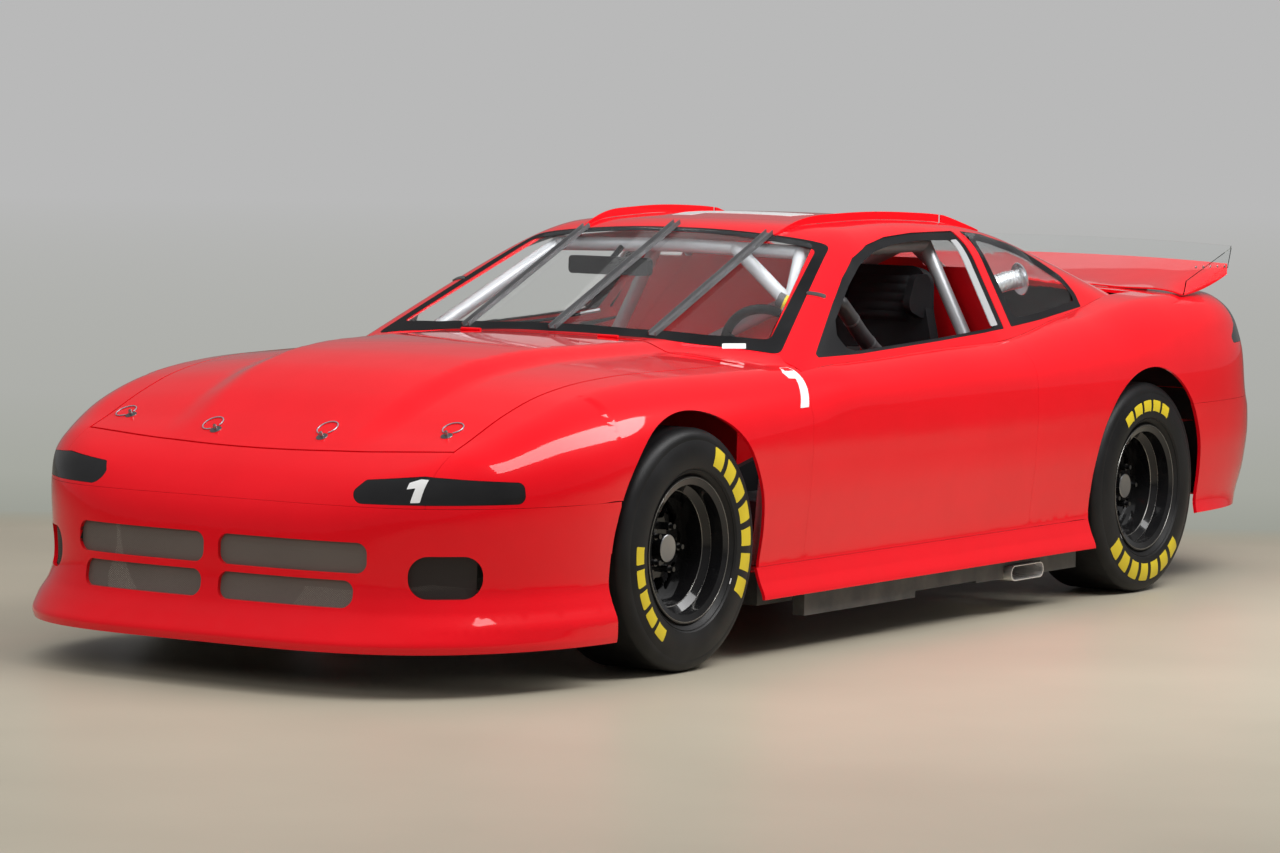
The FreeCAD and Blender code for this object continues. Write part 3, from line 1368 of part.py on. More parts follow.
def make_engine():
    return box(-ENGINE_HALF, ENGINE_HALF, ENGINE_FRONT, ENGINE_REAR, ENGINE_BOTTOM, ENGINE_TOP)


def make_driveline():
    gearbox = box(-GEARBOX_HALF, GEARBOX_HALF, ENGINE_REAR + 0.6, GEARBOX_REAR, 200, 350)
    shaft = rod(V(0, GEARBOX_REAR, 285), V(0, WHEELBASE - 150, 330), 34)
    return fused([gearbox, shaft])


def make_fuel_cell():
    return box(-FUEL_HALF, FUEL_HALF, FUEL_FRONT, DECK_REAR, 232, TAIL_RAIL_Z + 79.4)


def make_exhaust_pipes():
    """Pipe from each bank to a flattened side outlet behind the seat."""
    pipes = []
    for s in (-1, 1):
        flat_x = s * 560
        run = pipe_run([V(s * 215, 380, 262), V(s * 215, 520, 118), V(s * 260, 700, 112),
                        V(s * 440, 1000, 136), V(flat_x, 1500, 136), V(flat_x, PIPE_Y, 136)], 30)
        run = run.cut(box(-400, 400, 300, 500, 240, 500))
        x0 = min(flat_x, s * 905)
        outlet = prism([V(x0, PIPE_Y - 104, 107), V(x0, PIPE_Y + 104, 107), V(x0, PIPE_Y + 104, PIPE_TOP),
                        V(x0, PIPE_Y - 104, PIPE_TOP)], 23.0, X_AXIS * 345)
        hollow = prism([V(x0 - 1, PIPE_Y - 100, 110), V(x0 - 1, PIPE_Y + 100, 110),
                        V(x0 - 1, PIPE_Y + 100, PIPE_TOP - 3), V(x0 - 1, PIPE_Y - 100, PIPE_TOP - 3)],
                       20.0, X_AXIS * 347)
        keep_x = box(min(s * 640, s * 910), max(s * 640, s * 910), 1700, 2200, 60, 200)
        pipes.append(outlet.fuse(run).cut(hollow.common(keep_x)))
    return pipes


# ---- running gear ---------------------------------------------------------

def make_rim():
    """Deep steel wheel about +X, with its outer lip at x = 0."""
    w = RIM_WIDTH
    seat = TYRE_BEAD_RADIUS - 13
    lip = RIM_LIP_RADIUS
    outer = [(0, lip), (-10, lip), (-10, seat), (-44, seat), (-62, seat - 20), (-w + 66, seat - 20),
             (-w + 46, seat), (-w + 10, seat), (-w + 10, lip), (-w, lip)]
    inner = [(-w, lip - 6), (-w + 4, seat - 6), (-w + 44, seat - 6), (-w + 64, seat - 26),
             (-64, seat - 26), (-46, seat - 6), (-6, seat - 6), (0, lip - 6)]
    corners = [V(x, 0, r) for x, r in outer + inner]
    barrel = Part.Face(Part.makePolygon(corners + [corners[0]])).revolve(V(0, 0, 0), X_AXIS, 360)
    disc_outline = [(DISC_X - 9, seat - 25), (DISC_X, seat - 25), (DISC_X + 2, seat - 60), (DISC_X + 26, 100),
                    (DISC_X + 26, HUB_BORE), (DISC_X + 17, HUB_BORE), (DISC_X + 17, 96), (DISC_X - 8, seat - 62)]
    corners = [V(x, 0, r) for x, r in disc_outline]
    disc = Part.Face(Part.makePolygon(corners + [corners[0]])).revolve(V(0, 0, 0), X_AXIS, 360)
    for i in range(WINDOW_COUNT):
        low, high = WINDOW_HALVES
        x = DISC_X - 40
        corners = [V(x, -low, WINDOW_INNER), V(x, low, WINDOW_INNER), V(x, high, WINDOW_OUTER),
                   V(x, -high, WINDOW_OUTER)]
        window = prism(corners, 11.0, X_AXIS * 100)
        disc = disc.cut(window.rotated(V(0, 0, 0), X_AXIS, i * 360.0 / WINDOW_COUNT))
    face = DISC_X + 26
    hub = Part.makeCylinder(HUB_RADIUS + 12, 41, V(face - 40, 0, 0), X_AXIS)
    cap = Part.makeCylinder(HUB_RADIUS, 30, V(face - 1, 0, 0), X_AXIS)
    hub = hub.fuse(cap)
    hub = hub.cut(Part.makeCylinder(SPINDLE_RADIUS + BEARING_GAP, 46, V(face - 41, 0, 0), X_AXIS))
    lugs = []
    for i in range(LUG_COUNT):
        angle = 2 * math.pi * i / LUG_COUNT
        spot = V(face - 1, LUG_CIRCLE * math.cos(angle), LUG_CIRCLE * math.sin(angle))
        lugs.append(Part.makeCylinder(LUG_RADIUS, 25, spot, X_AXIS))
        lugs.append(Part.makeCylinder(7, 40, spot, X_AXIS))
    return fused([barrel, disc, hub] + lugs)


def make_tyre():
    w = RIM_WIDTH
    seat = TYRE_BEAD_RADIUS - 13
    bulge = (TYRE_WIDTH - w) / 2
    r = TYRE_RADIUS
    a = V(-10, 0, seat)
    b = V(-10, 0, RIM_LIP_RADIUS + 1)
    c = V(bulge - 4, 0, 232)
    d = V(bulge, 0, 268)
    e = V(bulge - 8, 0, 310)
    f = V(bulge - 16, 0, r - 12)
    g = V(bulge - 36, 0, r - 1)
    h = V(-w / 2, 0, r)

    def other(p):
        return V(-w - p.x, 0, p.z)

    edges = [Part.makeLine(a, b), Part.makeLine(b, c), Part.Arc(c, d, e).toShape(),
             Part.Arc(e, f, g).toShape(), Part.Arc(g, h, other(g)).toShape(),
             Part.Arc(other(g), other(f), other(e)).toShape(), Part.Arc(other(e), other(d), other(c)).toShape(),
             Part.makeLine(other(c), other(b)), Part.makeLine(other(b), other(a)), Part.makeLine(other(a), a)]
    return Part.Face(Part.Wire(edges)).revolve(V(0, 0, 0), X_AXIS, 360)


def make_knuckle():
    """Left front knuckle: spindle, upright and steering arm, about the axle's centre."""
    pivot = KINGPIN_X
    upright = box(pivot - 24, pivot + 24, -30, 30, AXLE_HEIGHT - 118, AXLE_HEIGHT + 118)
    spindle = rod(V(pivot, 0, AXLE_HEIGHT), V(SPINDLE_END_X, 0, AXLE_HEIGHT), SPINDLE_RADIUS)
    reach = box(STEER_ARM_X - 14, pivot, -16, 16, STEER_ARM_Z, STEER_ARM_Z + 18)
    arm = box(STEER_ARM_X - 14, STEER_ARM_X + 14, -16, ARM_Y + 16, STEER_ARM_Z, STEER_ARM_Z + 18)
    return fused([upright, spindle, reach, arm])


def make_front_arms():
    """Upper and lower arms, from the frame to the ball joints above and below each knuckle."""
    arms = []
    low = AXLE_HEIGHT - 118 - MOVING_GAP - 20
    high = AXLE_HEIGHT + 118 + MOVING_GAP
    for s in (-1, 1):
        x = s * (KINGPIN_X + 16)
        inner = s * (SNOUT_X + RAIL_HALF + 0.5)
        for z, spread_y, thick in ((low, 58, 20), (high, 90, 16)):
            plate = [V(x, -34, z), V(x, 34, z), V(inner, spread_y, z), V(inner, -spread_y, z)]
            face = Part.Face(Part.makePolygon(plate + [plate[0]]))
            arm = face.extrude(Z_AXIS * thick)
            hole = box(min(s * 440, s * 620), max(s * 440, s * 620), -22, 22, z - 1, z + thick + 1)
            boss_z = z + thick if z < AXLE_HEIGHT else z
            ball = rod(V(s * KINGPIN_X, 0, boss_z), V(s * KINGPIN_X, 0, boss_z + (MOVING_GAP - BEARING_GAP)
                                                      * (1 if z < AXLE_HEIGHT else -1)), 14)
            arms.append(arm.cut(hole).fuse(ball))
    return arms


def make_steering_link():
    return rod(V(-STEER_ARM_X, ARM_Y, LINK_Z), V(STEER_ARM_X, ARM_Y, LINK_Z), LINK_RADIUS)


def make_steering_rack():
    """Housing that the steering link slides through, hung under the snout's rails."""
    shapes = [rod(V(-SNOUT_X + 20, ARM_Y, LINK_Z), V(SNOUT_X - 20, ARM_Y, LINK_Z), LINK_RADIUS * 2)]
    for x in (-SNOUT_X, SNOUT_X):
        shapes.append(box(x - 30, x + 30, ARM_Y - 24, ARM_Y + 24, LINK_Z - 16, SNOUT_BOTTOM - SEAT))
    bore = rod(V(-SNOUT_X - 60, ARM_Y, LINK_Z), V(SNOUT_X + 60, ARM_Y, LINK_Z), LINK_RADIUS + BEARING_GAP)
    return fused(shapes).cut(bore)


def make_rear_axle():
    """Axle housing, tubes and shaft ends, turned about the axle line."""
    profile = [(0, 150), (60, 142), (110, 104), (150, 60), (190, 40), (AXLE_TUBE_X, 40),
               (AXLE_TUBE_X, SPINDLE_RADIUS), (SPINDLE_END_X, SPINDLE_RADIUS), (SPINDLE_END_X, 0)]
    outline = [V(-x, 0, r) for x, r in reversed(profile[1:])] + [V(x, 0, r) for x, r in profile]
    axle = Part.Face(Part.makePolygon(outline + [outline[0]])).revolve(V(0, 0, 0), X_AXIS, 360)
    return axle.translated(V(0, WHEELBASE, AXLE_HEIGHT))


def make_trailing_arms():
    """Long arms under the axle, and its springs under the rear rails."""
    arms = []
    for s in (-1, 1):
        a = V(s * 250, ARM_MOUNT_Y - 40, 187 - 21.4 - 8.4)
        b = V(s * 400, WHEELBASE + 40, AXLE_HEIGHT - 40 - 21.4)
        arms.append(rod(a, b, 21))
        x = s * TAIL_RAIL_X
        arms.append(rod(V(x, WHEELBASE, AXLE_HEIGHT + 40.4), V(x, WHEELBASE, TAIL_RAIL_Z - 0.4), 37))
    return arms


# ---- build ----------------------------------------------------------------

lamp_holes = both(headlamp_prism(0))
fog_holes = both(fog_prism(0))
tail_holes = both(tail_lamp_prism(0))


hood = without(make_hood(), hinge_barrels(HOOD_REAR + LID_GAP / 2, HINGE_PLAY))
header = without(make_header(), lamp_holes)
fender = without(make_fender(), lamp_holes)
bumper = without(make_front_bumper(), fog_holes + grille_prisms(0))
door = make_door()
quarter = without(make_quarter(), tail_holes)
tail_panel = without(make_tail_panel(), tail_holes)
skirt = make_skirt()
deck_lid = without(make_deck_lid(), hinge_barrels(DECK_FRONT - LID_GAP / 2, HINGE_PLAY))

keep("front_bumper", bumper)
keep("header_panel", header)
keep("hood", hood)
keep("fender_left", fender)
keep("fender_right", mirrored(fender))
keep("door_left", door)
keep("door_right", mirrored(door))
keep("quarter_left", quarter)
keep("quarter_right", mirrored(quarter))
keep("side_skirts", Part.makeCompound(both(skirt)))
keep("rear_bumper", make_rear_bumper())
keep("tail_panel", tail_panel)
keep("deck_lid", deck_lid)
keep("backlight_panel", make_deck_bridge())
cowl, cowl_end = make_cowl()
keep("cowl", Part.makeCompound([cowl] + both(cowl_end)))
keep("roof_shell", make_roof_shell())
keep("windshield", make_windshield())
keep("windshield_straps", make_straps())
keep("backlight", make_backlight())
keep("quarter_windows", Part.makeCompound(both(make_quarter_window())))
keep("headlamp_covers", Part.makeCompound(both(make_headlamps())))
keep("tail_lamps", Part.makeCompound(both(make_tail_lamps())))
keep("grille_mesh", make_grille_mesh())
strips = make_roof_strips()
keep("roof_strips", Part.makeCompound(strips + [mirrored(strip) for strip in strips]))
keep("spoiler", make_spoiler())
keep("spoiler_blade", make_spoiler_blade())
keep("frame_rails", make_frame_rails())
keep("side_rails", Part.makeCompound(make_side_rails()))
keep("floor_pan", make_floor_pan())
keep("roll_cage", make_roll_cage())
keep("interior_panels", make_interior_panels())
keep("mirror", make_mirror())
keep("seat", make_seat())
keep("dashboard", make_dashboard())
keep("steering_column", make_steering_column())
keep("steering_wheel", make_steering_wheel())
keep("engine_block", make_engine())
keep("driveline", make_driveline())
keep("fuel_cell", make_fuel_cell())
keep("exhaust_pipes", Part.makeCompound(make_exhaust_pipes()))
keep("front_arms", Part.makeCompound(make_front_arms()))
keep("steering_link", make_steering_link())
keep("steering_rack", make_steering_rack())
keep("rear_axle", make_rear_axle())
keep("trailing_arms", Part.makeCompound(make_trailing_arms()))
knuckle = make_knuckle()
keep("knuckle_left", knuckle)
keep("knuckle_right", mirrored(knuckle))
rim = make_rim()
tyre = make_tyre()
for end, axle_y in (("front", 0.0), ("rear", WHEELBASE)):
    place = V(RIM_LIP_X, axle_y, AXLE_HEIGHT)
    keep("rim_" + end + "_left", rim.translated(place))
    keep("rim_" + end + "_right", mirrored(rim.translated(place)))
    keep("tyre_" + end + "_left", tyre.translated(place))
    keep("tyre_" + end + "_right", mirrored(tyre.translated(place)))

for name, shape in nodes.items():
    shape.translated(V(0, -CAR_MIDDLE_Y, 0)).exportStep("parts/" + name + ".step")
print(len(nodes), "nodes")
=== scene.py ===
"""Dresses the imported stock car: paint, glass, rubber, trim, studio and camera."""
import json
import logging
import math
from collections.abc import Callable, Iterable, Iterator, Sequence
from dataclasses import dataclass
from enum import Enum

import bmesh
import bpy
import numpy as np
from mathutils import Matrix, Vector


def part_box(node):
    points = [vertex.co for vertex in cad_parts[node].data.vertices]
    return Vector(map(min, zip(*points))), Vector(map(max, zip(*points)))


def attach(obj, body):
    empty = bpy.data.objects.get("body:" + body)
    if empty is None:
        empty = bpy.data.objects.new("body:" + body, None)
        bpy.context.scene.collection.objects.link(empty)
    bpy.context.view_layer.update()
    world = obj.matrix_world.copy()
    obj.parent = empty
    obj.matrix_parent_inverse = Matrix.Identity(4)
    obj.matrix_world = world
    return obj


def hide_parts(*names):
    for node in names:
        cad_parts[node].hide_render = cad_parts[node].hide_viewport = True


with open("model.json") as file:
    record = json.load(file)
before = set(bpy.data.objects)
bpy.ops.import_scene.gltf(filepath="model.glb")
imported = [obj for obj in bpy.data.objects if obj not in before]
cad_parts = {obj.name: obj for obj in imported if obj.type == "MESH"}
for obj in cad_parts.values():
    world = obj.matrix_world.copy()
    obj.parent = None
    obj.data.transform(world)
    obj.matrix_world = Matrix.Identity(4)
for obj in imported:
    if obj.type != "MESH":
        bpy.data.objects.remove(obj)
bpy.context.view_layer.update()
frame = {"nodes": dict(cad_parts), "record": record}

LOG = logging.getLogger("stock_car")

Colour = tuple[float, float, float]
Point = tuple[float, float, float]


def box_middle(node: str, axis: int) -> float:
    """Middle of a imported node's box along one axis, in metres."""
    low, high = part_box(node)
    return float(low[axis] + high[axis]) / 2


# The part's own drawing has its zero at the front axle; the frame's is mid-length
FRONT_AXLE_Y = box_middle("tyre_front_left", 1)
REAR_AXLE_Y = box_middle("tyre_rear_left", 1)
AXLE_Z = box_middle("tyre_front_left", 2)


class Body(Enum):
    """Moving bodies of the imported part."""

    CHASSIS = "chassis"
    HOOD = "hood"
    DECK_LID = "deck_lid"
    WHEEL_FRONT_LEFT = "wheel_front_left"
    WHEEL_FRONT_RIGHT = "wheel_front_right"
    WHEEL_REAR_LEFT = "wheel_rear_left"
    WHEEL_REAR_RIGHT = "wheel_rear_right"


WHEEL_BODIES = (Body.WHEEL_FRONT_LEFT, Body.WHEEL_FRONT_RIGHT, Body.WHEEL_REAR_LEFT, Body.WHEEL_REAR_RIGHT)
LEFT, RIGHT = 1.0, -1.0
SIDES = ((LEFT, "left"), (RIGHT, "right"))


class Slot(Enum):
    """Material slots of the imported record."""

    RED_BODY = "red_body"
    CLEAR_GLASS = "clear_glass"
    DARK_COVER = "dark_cover"
    MESH = "mesh"
    GREY_FRAME = "grey_frame"
    RED_SHEET = "red_sheet"
    CAGE = "cage"
    BLACK_TRIM = "black_trim"
    COLUMN = "column"
    ENGINE = "engine"
    DRIVELINE = "driveline"
    TANK = "tank"
    EXHAUST = "exhaust"
    WHEEL_BLACK = "wheel_black"
    TYRE = "tyre"


# ---- shader building -------------------------------------------------------

class NodeSheet:
    """A node tree with short calls for adding and joining nodes."""

    def __init__(self, tree: bpy.types.NodeTree) -> None:
        """Wraps a tree.

        Args:
            tree: The node tree that is filled.
        """
        self.tree = tree

    def add(self, kind: str, **settings: object) -> bpy.types.Node:
        """Adds a node.

        Args:
            kind: Blender's type name of the node.
            settings: Properties of the node, by name.

        Returns:
            The new node.
        """
        node = self.tree.nodes.new(kind)
        for name, value in settings.items():
            setattr(node, name, value)
        return node

    def join(self, source: bpy.types.NodeSocket, target: bpy.types.NodeSocket) -> None:
        """Joins one socket to another."""
        self.tree.links.new(source, target)

    def put(self, node: bpy.types.Node, key: str | int, value: object) -> None:
        """Sets an input, or joins it where the value is a socket.

        Args:
            node: The node.
            key: The input's name or number.
            value: A plain value or an output socket.
        """
        if isinstance(value, bpy.types.NodeSocket):
            self.join(value, node.inputs[key])
        else:
            node.inputs[key].default_value = value

    def math(self, operation: str, first: object, second: object = 0.0) -> bpy.types.NodeSocket:
        """Adds a Math node and returns its output."""
        node = self.add("ShaderNodeMath", operation=operation)
        self.put(node, 0, first)
        self.put(node, 1, second)
        return node.outputs[0]

    def blend(self, mask: object, low: object, high: object) -> bpy.types.NodeSocket:
        """Mixes two colours by a mask and returns the colour."""
        node = self.add("ShaderNodeMix", data_type="RGBA")
        self.put(node, 0, mask)
        for index, value in ((6, low), (7, high)):
            self.put(node, index, (*value, 1.0) if isinstance(value, tuple) else value)
        return node.outputs[2]

    def mix_shaders(self, mask: bpy.types.NodeSocket, low: bpy.types.Node,
                    high: bpy.types.Node) -> bpy.types.Node:
        """Mixes two shader nodes by a mask and returns the mixing node."""
        node = self.add("ShaderNodeMixShader")
        for index, source in enumerate((mask, low.outputs[0], high.outputs[0])):
            self.join(source, node.inputs[index])
        return node

    def place(self) -> bpy.types.NodeSocket:
        """Adds the object's own coordinates and returns them."""
        return self.add("ShaderNodeTexCoord").outputs["Object"]

    def seen_plainly(self) -> bpy.types.NodeSocket:
        """One where the camera sees a surface itself or through a clear sheet."""
        path = self.add("ShaderNodeLightPath")
        return self.math("MAXIMUM", path.outputs["Is Camera Ray"], path.outputs["Is Transmission Ray"])

    def ramp(self, value: bpy.types.NodeSocket, low: float, high: float,
             start: float = 0.0, end: float = 1.0) -> bpy.types.NodeSocket:
        """Maps a value's range onto another, held at its ends."""
        node = self.add("ShaderNodeMapRange")
        self.join(value, node.inputs[0])
        for index, number in enumerate((low, high, start, end)):
            node.inputs[index + 1].default_value = number
        return node.outputs[0]


class GroupShelf:
    """The shader node groups that several finishes share."""

    def __init__(self) -> None:
        """Builds each group once."""
        self.dust = self._dust()
        self.grain = self._grain()
        self.weave = self._weave()

    @staticmethod
    def _start(name: str, inputs: Sequence[tuple[str, float]],
               outputs: Sequence[tuple[str, str]]) -> tuple[NodeSheet, bpy.types.Node, bpy.types.Node]:
        """Starts a group with named sockets.

        Args:
            name: The group's name.
            inputs: Names and defaults of its number inputs.
            outputs: Names and socket types of its outputs.

        Returns:
            The sheet, the input node and the output node.
        """
        tree = bpy.data.node_groups.new(name, "ShaderNodeTree")
        for label, value in inputs:
            socket = tree.interface.new_socket(label, in_out="INPUT", socket_type="NodeSocketFloat")
            socket.default_value = value
        for label, kind in outputs:
            tree.interface.new_socket(label, in_out="OUTPUT", socket_type=kind)
        sheet = NodeSheet(tree)
        return sheet, sheet.add("NodeGroupInput"), sheet.add("NodeGroupOutput")

    def _dust(self) -> bpy.types.NodeTree:
        """Mask of settled dust: strong near the ground, broken up by noise."""
        sheet, start, end = self._start(
            "settled_dust", [("Top", 0.5), ("Amount", 0.3), ("Scale", 14.0)],
            [("Mask", "NodeSocketFloat")])
        place = sheet.place()
        parts = sheet.add("ShaderNodeSeparateXYZ")
        sheet.join(place, parts.inputs[0])
        noise = sheet.add("ShaderNodeTexNoise")
        sheet.put(noise, "Detail", 6.0)
        sheet.join(place, noise.inputs["Vector"])
        sheet.join(start.outputs["Scale"], noise.inputs["Scale"])
        low = sheet.math("DIVIDE", parts.outputs["Z"], start.outputs["Top"])
        fall = sheet.math("SUBTRACT", 1.0, low)
        held = sheet.math("MAXIMUM", fall, 0.0)
        spots = sheet.ramp(noise.outputs[0], 0.35, 0.75)
        mask = sheet.math("MULTIPLY", sheet.math("MULTIPLY", held, spots), start.outputs["Amount"])
        sheet.join(mask, end.inputs["Mask"])
        return sheet.tree

    def _grain(self) -> bpy.types.NodeTree:
        """Fine speckle with a slower drift: a mask for colour and a height for bump."""
        sheet, start, end = self._start(
            "fine_grain", [("Scale", 400.0), ("Drift", 6.0)],
            [("Mask", "NodeSocketFloat"), ("Height", "NodeSocketFloat")])
        place = sheet.place()
        fine = sheet.add("ShaderNodeTexNoise")
        slow = sheet.add("ShaderNodeTexNoise")
        for node, label in ((fine, "Scale"), (slow, "Drift")):
            sheet.join(place, node.inputs["Vector"])
            sheet.join(start.outputs[label], node.inputs["Scale"])
            sheet.put(node, "Detail", 3.0)
        sheet.join(slow.outputs[0], end.inputs["Mask"])
        sheet.join(fine.outputs[0], end.inputs["Height"])
        return sheet.tree

    def _weave(self) -> bpy.types.NodeTree:
        """Mask of two sets of wires that cross, seen along the car or across it."""
        sheet, start, end = self._start(
            "woven_wire", [("Pitch", 0.006), ("Share", 0.45)], [("Mask", "NodeSocketFloat")])
        parts = sheet.add("ShaderNodeSeparateXYZ")
        sheet.join(sheet.place(), parts.inputs[0])
        aside = sheet.math("ADD", parts.outputs["X"], parts.outputs["Y"])
        wires = []
        for operation in ("ADD", "SUBTRACT"):
            line = sheet.math(operation, aside, parts.outputs["Z"])
            cell = sheet.math("FRACT", sheet.math("DIVIDE", line, start.outputs["Pitch"]))
            wires.append(sheet.math("LESS_THAN", cell, start.outputs["Share"]))
        sheet.join(sheet.math("MAXIMUM", wires[0], wires[1]), end.inputs["Mask"])
        return sheet.tree


DUST_COLOUR: Colour = (0.33, 0.3, 0.26)
LACQUER_IOR = 1.36
THIN_SHEET_IOR = 1.15


def start_material(name: str) -> tuple[bpy.types.Material, NodeSheet, bpy.types.Node, bpy.types.Node]:
    """Starts a material that holds only a surface shader and its output.

    Args:
        name: The material's name.

    Returns:
        The material, its sheet, the shader and the output node.
    """
    material = bpy.data.materials.new(name)
    material.use_nodes = True
    material.node_tree.nodes.clear()
    sheet = NodeSheet(material.node_tree)
    shader = sheet.add("ShaderNodeBsdfPrincipled")
    out = sheet.add("ShaderNodeOutputMaterial")
    sheet.join(shader.outputs[0], out.inputs[0])
    return material, sheet, shader, out


@dataclass(frozen=True)
class Finish:
    """A surface: its colours, gloss and small relief.

    Args:
        name: Name of the material.
        base: Main colour.
        shade: Colour that the slow grain drifts to.
        roughness: Roughness of the clean surface.
        rough_swing: How far the grain moves the roughness.
        metallic: One for bare metal.
        coat: Weight of the clear coat.
        grain_scale: Scale of the fine grain; more is finer.
        relief: Bump distance of the fine grain.
        dust: Amount of dust near the floor.
        specular: Level of the surface's own gloss under its coat.
    """

    name: str
    base: Colour
    shade: Colour
    roughness: float = 0.5
    rough_swing: float = 0.08
    metallic: float = 0.0
    coat: float = 0.0
    grain_scale: float = 500.0
    relief: float = 0.0002
    dust: float = 0.1
    specular: float = 0.5

    def material(self, shelf: GroupShelf) -> bpy.types.Material:
        """Builds the material.

        Args:
            shelf: The shared node groups.

        Returns:
            The new material.
        """
        material, sheet, shader, _ = start_material(self.name)
        grain = sheet.add("ShaderNodeGroup", node_tree=shelf.grain)
        sheet.put(grain, "Scale", self.grain_scale)
        colour = sheet.blend(sheet.ramp(grain.outputs["Mask"], 0.35, 0.65), self.base, self.shade)
        rough = sheet.ramp(grain.outputs["Mask"], 0.3, 0.7, self.roughness - self.rough_swing,
                           self.roughness + self.rough_swing)
        if self.dust > 0:
            dust = sheet.add("ShaderNodeGroup", node_tree=shelf.dust)
            sheet.put(dust, "Amount", self.dust)
            colour = sheet.blend(dust.outputs["Mask"], colour, DUST_COLOUR)
        bump = sheet.add("ShaderNodeBump")
        sheet.put(bump, "Distance", self.relief)
        sheet.put(bump, "Strength", 0.5)
        sheet.join(grain.outputs["Height"], bump.inputs["Height"])
        for name, value in (("Base Color", colour), ("Roughness", rough), ("Metallic", self.metallic),
                            ("Specular IOR Level", self.specular), ("Coat Weight", self.coat),
                            ("Coat Roughness", 0.03), ("Coat IOR", LACQUER_IOR), ("Normal", bump.outputs[0])):
            sheet.put(shader, name, value)
        return material


@dataclass(frozen=True)
class ClearFinish:
    """Clear sheet: thin plastic or glass.

    Args:
        name: Name of the material.
        tint: Colour seen through the sheet.
        roughness: Roughness of the surface.
    """

    name: str
    tint: Colour
    roughness: float = 0.02

    def material(self, shelf: GroupShelf) -> bpy.types.Material:
        """Builds the material with faint smears in its gloss."""
        material, sheet, shader, out = start_material(self.name)
        grain = sheet.add("ShaderNodeGroup", node_tree=shelf.grain)
        rough = sheet.ramp(grain.outputs["Mask"], 0.3, 0.7, self.roughness, self.roughness + 0.02)
        for name, value in (("Roughness", rough), ("Base Color", (*self.tint, 1.0)),
                            ("Transmission Weight", 1.0), ("IOR", THIN_SHEET_IOR), ("Metallic", 0.0)):
            sheet.put(shader, name, value)
        shadow = sheet.add("ShaderNodeLightPath").outputs["Is Shadow Ray"]
        mix = sheet.mix_shaders(shadow, shader, sheet.add("ShaderNodeBsdfTransparent"))
        sheet.join(mix.outputs[0], out.inputs[0])
        return material


@dataclass(frozen=True)
class MeshFinish:
    """Fine woven wire sheet, open between its wires.

    Args:
        name: Name of the material.
        wire: Colour of the wires.
        pitch: Distance between wires, in metres.
        share: Share of the pitch that the wire fills.
    """

    name: str
    wire: Colour = (0.15, 0.125, 0.11)
    pitch: float = 0.006
    share: float = 0.62

    def material(self, shelf: GroupShelf) -> bpy.types.Material:
        """Builds the material: wires from the woven group, holes from its mask."""
        material, sheet, shader, _ = start_material(self.name)
        weave = sheet.add("ShaderNodeGroup", node_tree=shelf.weave)
        sheet.put(weave, "Pitch", self.pitch)
        sheet.put(weave, "Share", self.share)
        grain = sheet.add("ShaderNodeGroup", node_tree=shelf.grain)
        shade = tuple(c * 0.8 for c in self.wire)
        sheet.put(shader, "Base Color", sheet.blend(grain.outputs["Mask"], self.wire, shade))
        sheet.put(shader, "Roughness", 0.55)
        sheet.put(shader, "Metallic", 0.0)
        sheet.put(shader, "Alpha", weave.outputs["Mask"])
        return material


AnyFinish = Finish | ClearFinish | MeshFinish

RED_PAINT = Finish(
    "red_paint", (0.80, 0.002, 0.010), (0.77, 0.002, 0.009), roughness=0.35, rough_swing=0.02,
    coat=1.0, grain_scale=900.0, relief=0.00001, dust=0.01, specular=0.05)
UNDERSEAL = Finish(
    "underseal_black", (0.010, 0.010, 0.010), (0.017, 0.016, 0.016), roughness=0.7, relief=0.0006,
    grain_scale=220.0, specular=0.3)
DARK_GLOSS = Finish(
    "dark_gloss_cover", (0.006, 0.006, 0.007), (0.011, 0.011, 0.012), roughness=0.22, coat=0.4,
    grain_scale=700.0, relief=0.00003, dust=0.02)
FRAME_GREY = Finish(
    "frame_grey", (0.035, 0.036, 0.038), (0.055, 0.055, 0.056), dust=0.3, relief=0.0002)
STRAP_GREY = Finish(
    "strap_grey", (0.14, 0.14, 0.145), (0.18, 0.18, 0.185), roughness=0.4, metallic=0.5, dust=0.0,
    relief=0.0001)
# Same red as the outer paint, made lighter to stand in for light that the roof keeps out of the cabin:
# painted light.
CABIN_RED_PAINTED_LIGHT = Finish(
    "cabin_red_painted_light", (0.84, 0.004, 0.012), (0.78, 0.004, 0.011), roughness=0.4, coat=0.2,
    grain_scale=350.0, relief=0.0001, dust=0.03)
CAGE_SILVER = Finish(
    "cage_silver", (0.46, 0.47, 0.49), (0.40, 0.41, 0.43), roughness=0.35, metallic=0.3, coat=0.2,
    relief=0.0001, dust=0.0)
MATT_BLACK = Finish(
    "matt_black", (0.006, 0.006, 0.007), (0.012, 0.012, 0.013), roughness=0.5, dust=0.0,
    grain_scale=600.0, relief=0.0002, specular=0.15)
BARE_STEEL = Finish(
    "bare_steel", (0.42, 0.42, 0.43), (0.34, 0.34, 0.35), roughness=0.35, metallic=1.0, relief=0.0001,
    dust=0.05)
CAST_IRON = Finish(
    "cast_iron", (0.07, 0.07, 0.075), (0.10, 0.10, 0.10), roughness=0.6, metallic=0.4, dust=0.3,
    grain_scale=260.0, relief=0.0006)
POLISHED = Finish(
    "polished_steel", (0.82, 0.81, 0.80), (0.70, 0.69, 0.68), roughness=0.28, rough_swing=0.08,
    metallic=0.7, grain_scale=400.0, relief=0.0001, dust=0.0)
WHEEL_GLOSS = Finish(
    "wheel_gloss_black", (0.006, 0.006, 0.007), (0.010, 0.010, 0.011), roughness=0.16,
    rough_swing=0.04, coat=0.8, specular=0.1, grain_scale=600.0, relief=0.00003, dust=0.04)
POST_SILVER = Finish(
    "post_silver", (0.50, 0.51, 0.52), (0.44, 0.45, 0.46), roughness=0.4, metallic=0.2, coat=0.3,
    relief=0.0001, dust=0.0)
